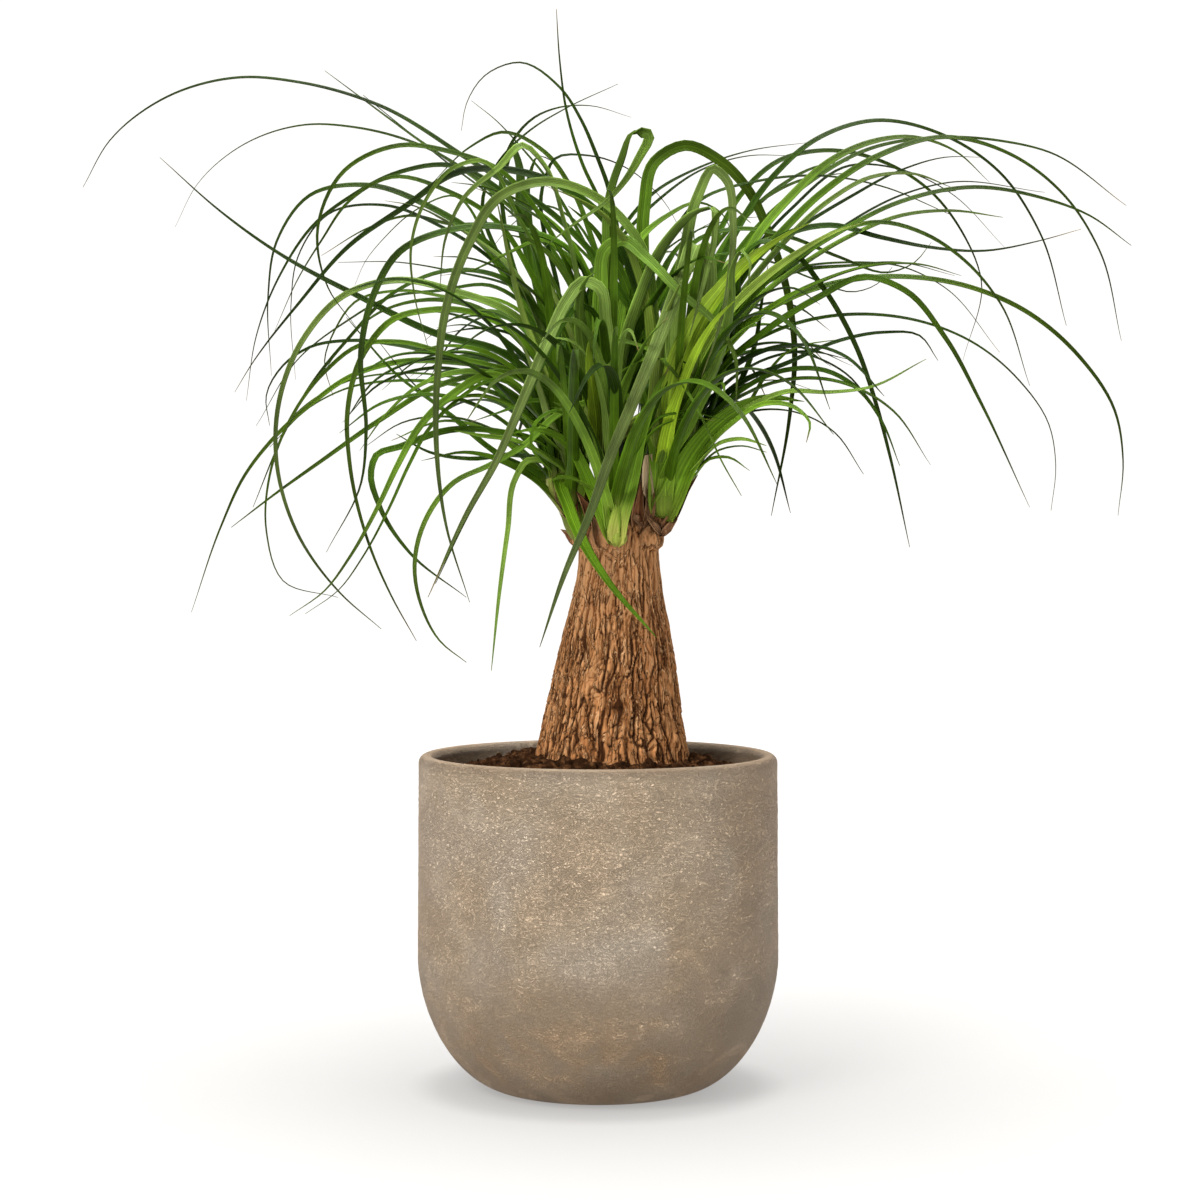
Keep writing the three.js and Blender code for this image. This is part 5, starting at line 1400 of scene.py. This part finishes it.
def pot_material():
    """Stony slip: greige with paler clouds, browner low down, and browner at the sides as painted
    shade where the round wall turns away from the light, darker on the rim, and darker at the foot
    as painted shade where it meets the floor. Short wavy wrinkles and a finer weave cover it
    between the rim and the foot: they are where level, distorted noise crosses its middle value,
    and the wrinkles' troughs are darkened as painted shade. Low down, patches of small pale cells
    stand out, and a few longer level strokes elsewhere."""
    paint = Paint("stone_slip", 0.62, 0.4)
    up = paint.axis("Z")
    cloud = paint.noise(17, 2, 0.5, 0.4)
    patch = paint.noise((24, 24, 24), 2, 0.5, 0.3)
    strong = paint.noise((40, 40, 50), 2, 0.5, 0.6)
    waves = paint.noise((185, 185, 390), 2, 0.5, 2.6)
    weave = paint.noise((360, 360, 500), 2, 0.5, 1.4)
    stroke = paint.noise((40, 40, 300), 1, 0.5, 0.3)
    cells = paint.node("TexVoronoi", {"Scale": 290}, "Distance", feature="DISTANCE_TO_EDGE")
    low = paint.span(up, 0.11, 0.035)
    # Painted shade: browner towards the left and right edges of the pot, where the round wall turns
    # away from the light
    side = paint.span(paint.away(paint.axis("X")), 0.05, 0.112, 0, 0.8)
    brown = paint.times(paint.math("MAXIMUM", low, side), paint.span(patch, 0.28, 0.68, 0.55, 1),
                        True)
    band = paint.times(paint.span(up, 0.001, 0.02, 0.4, 1), paint.span(up, 0.1982, 0.1955))
    where = paint.times(band, paint.span(strong, 0.34, 0.66, 0.6, 1))
    hatched = paint.times(paint.times(low, band), paint.span(strong, 0.34, 0.66), True)
    wrinkle = paint.span(paint.away(waves, 0.5), 0, 0.09)
    fine = paint.span(paint.away(weave, 0.5), 0, 0.1)
    stroke = paint.times(band, paint.span(stroke, 0.72, 0.78, 0, 0.28))
    cells = paint.times(paint.span(cells, 0, 0.22, 1, 0), hatched)
    base = paint.ramp(cloud, [
        (0.34, (0.59, 0.438, 0.29)), (0.5, (0.638, 0.495, 0.35)), (0.66, (0.685, 0.57, 0.44)),
    ])
    base = paint.layered(base, [
        (paint.times(brown, 0.85), (0.4, 0.236, 0.108)),
        # Darker in the wrinkles' troughs: painted shade
        (paint.times(where, paint.span(wrinkle, 0.5, 0, 0, 0.46)), (0.25, 0.17, 0.098)),
        (paint.times(where, paint.span(fine, 0.75, 1, 0, 0.15)), (0.68, 0.58, 0.45)),
        (paint.math("MAXIMUM", stroke, paint.times(cells, 0.65)), (0.64, 0.53, 0.39)),
        # Darker at the foot, where it meets the floor: painted shade
        (paint.span(up, 0.024, 0.002, 0, 0.4), (0.27, 0.175, 0.1)),
        (paint.span(up, 0.1915, 0.1965, 0, 0.62), (0.235, 0.165, 0.105)),
    ])
    height = paint.plus(paint.times(where, paint.plus(wrinkle, paint.times(fine, 0.6))),
                        paint.plus(stroke, cells))
    return paint.finish(base, height, 0.0019, 1, paint.span(cloud, 0.3, 0.7, 0.55, 0.7))


def floor_material():
    """Pale floor, which glows a little, more so away from the pot, where less light falls."""
    paint = Paint("pale_floor", 0.9, 0.1)
    paint.shader.inputs["Emission Color"].default_value = (1, 0.985, 0.965, 1)
    east, north = paint.axis("X"), paint.axis("Y")
    away = paint.math("SQRT", paint.plus(paint.times(east, east), paint.times(north, north)))
    glow = paint.plus(paint.span(away, 0.055, 0.115, 0.36, 0.61),
                      paint.plus(paint.span(away, 0.1, 0.4, 0, 0.15),
                                 paint.span(away, 0.4, 1.6, 0, 0.22)))
    paint.link(glow, paint.shader.inputs["Emission Strength"])
    return paint.finish(paint.ramp(paint.noise(2, 2), [
        (0, (0.145, 0.142, 0.138)), (1, (0.155, 0.152, 0.148)),
    ]))


def floor():
    """A pale bowl: flat for 6 m all round the part, then rising by 3 m in a quarter turn."""
    rise = np.linspace(0, 1, 16)[1:] * np.pi / 2
    radii = np.concatenate([np.linspace(0.5, 6, 12), 6 + 3 * np.sin(rise)]) * 1000
    heights = np.concatenate([np.zeros(12), 3 * (1 - np.cos(rise))]) * 1000
    points = level_rings(radii, heights, FLOOR_SIDES)
    faces = [face[::-1] for face in ring_faces(len(radii), FLOOR_SIDES)[:-1]]
    bowl = put_object("floor", smooth_mesh("floor", points, faces))
    bowl.data.materials.append(floor_material())


def lamp(name, place, target, size, power, colour=(1, 1, 1)):
    """A square soft light, aimed at a point. Places are in metres."""
    light = bpy.data.lights.new(name, "AREA")
    light.size = size
    light.energy = power
    light.color = colour
    holder = put_object(name, light)
    holder.location = place
    holder.rotation_euler = aim_angles(np.array(target, float) - np.array(place, float))


def aim_angles(direction):
    """Turns about X and Z that point a lamp or camera, which looks down -Z, along a line."""
    x, y, z = direction / np.linalg.norm(direction)
    return np.arccos(-z), 0.0, np.arctan2(y, x) - np.pi / 2


def studio():
    """Dim white surroundings and three lights: one before the part on the left, a weak warm one
    on the right, and one above."""
    world = bpy.data.worlds.new("studio")
    world.use_nodes = True
    surround = world.node_tree.nodes["Background"]
    surround.inputs["Color"].default_value = (1.0, 0.995, 0.985, 1)
    surround.inputs["Strength"].default_value = 0.18
    bpy.context.scene.world = world
    bpy.context.scene.view_settings.view_transform = "Standard"
    lamp("key", (-1.3, -1.9, 1.9), (0, 0, 0.3), 1.2, 78)
    lamp("fill", (2.0, -1.4, 0.9), (0, 0, 0.3), 1.6, 10, (1.0, 0.97, 0.93))
    lamp("top", (0.0, 0.1, 2.3), (0, 0, 0.4), 1.1, 84)


def camera():
    """A level camera at the eye, with its picture shifted up to where the photo's horizon is."""
    lens = bpy.data.cameras.new("camera")
    lens.sensor_width = SENSOR_WIDTH
    lens.lens = SENSOR_WIDTH * LENS_PIXELS / PHOTO_PIXELS
    lens.shift_y = (HORIZON_PIXELS - PHOTO_PIXELS / 2) / PHOTO_PIXELS
    lens.clip_end = 50
    holder = put_object("camera", lens)
    holder.location = (EYE_X * MM, -EYE_DISTANCE * MM, EYE_Z * MM)
    holder.rotation_euler = (np.pi / 2, 0, 0)
    bpy.context.scene.camera = holder


camera()
studio()
floor()
green = leaf_material()
soil_colour = soil_material()
pot_piece(pot_material())
soil_piece(soil_colour)
clods_piece(soil_colour)
bark_colour = bark_material()
bark_piece(bark_colour)
buried_piece(bark_colour)
husks_piece(husk_material())
for number, head_name in enumerate(HEADS):
    head_piece(head_name, number + 1, green)
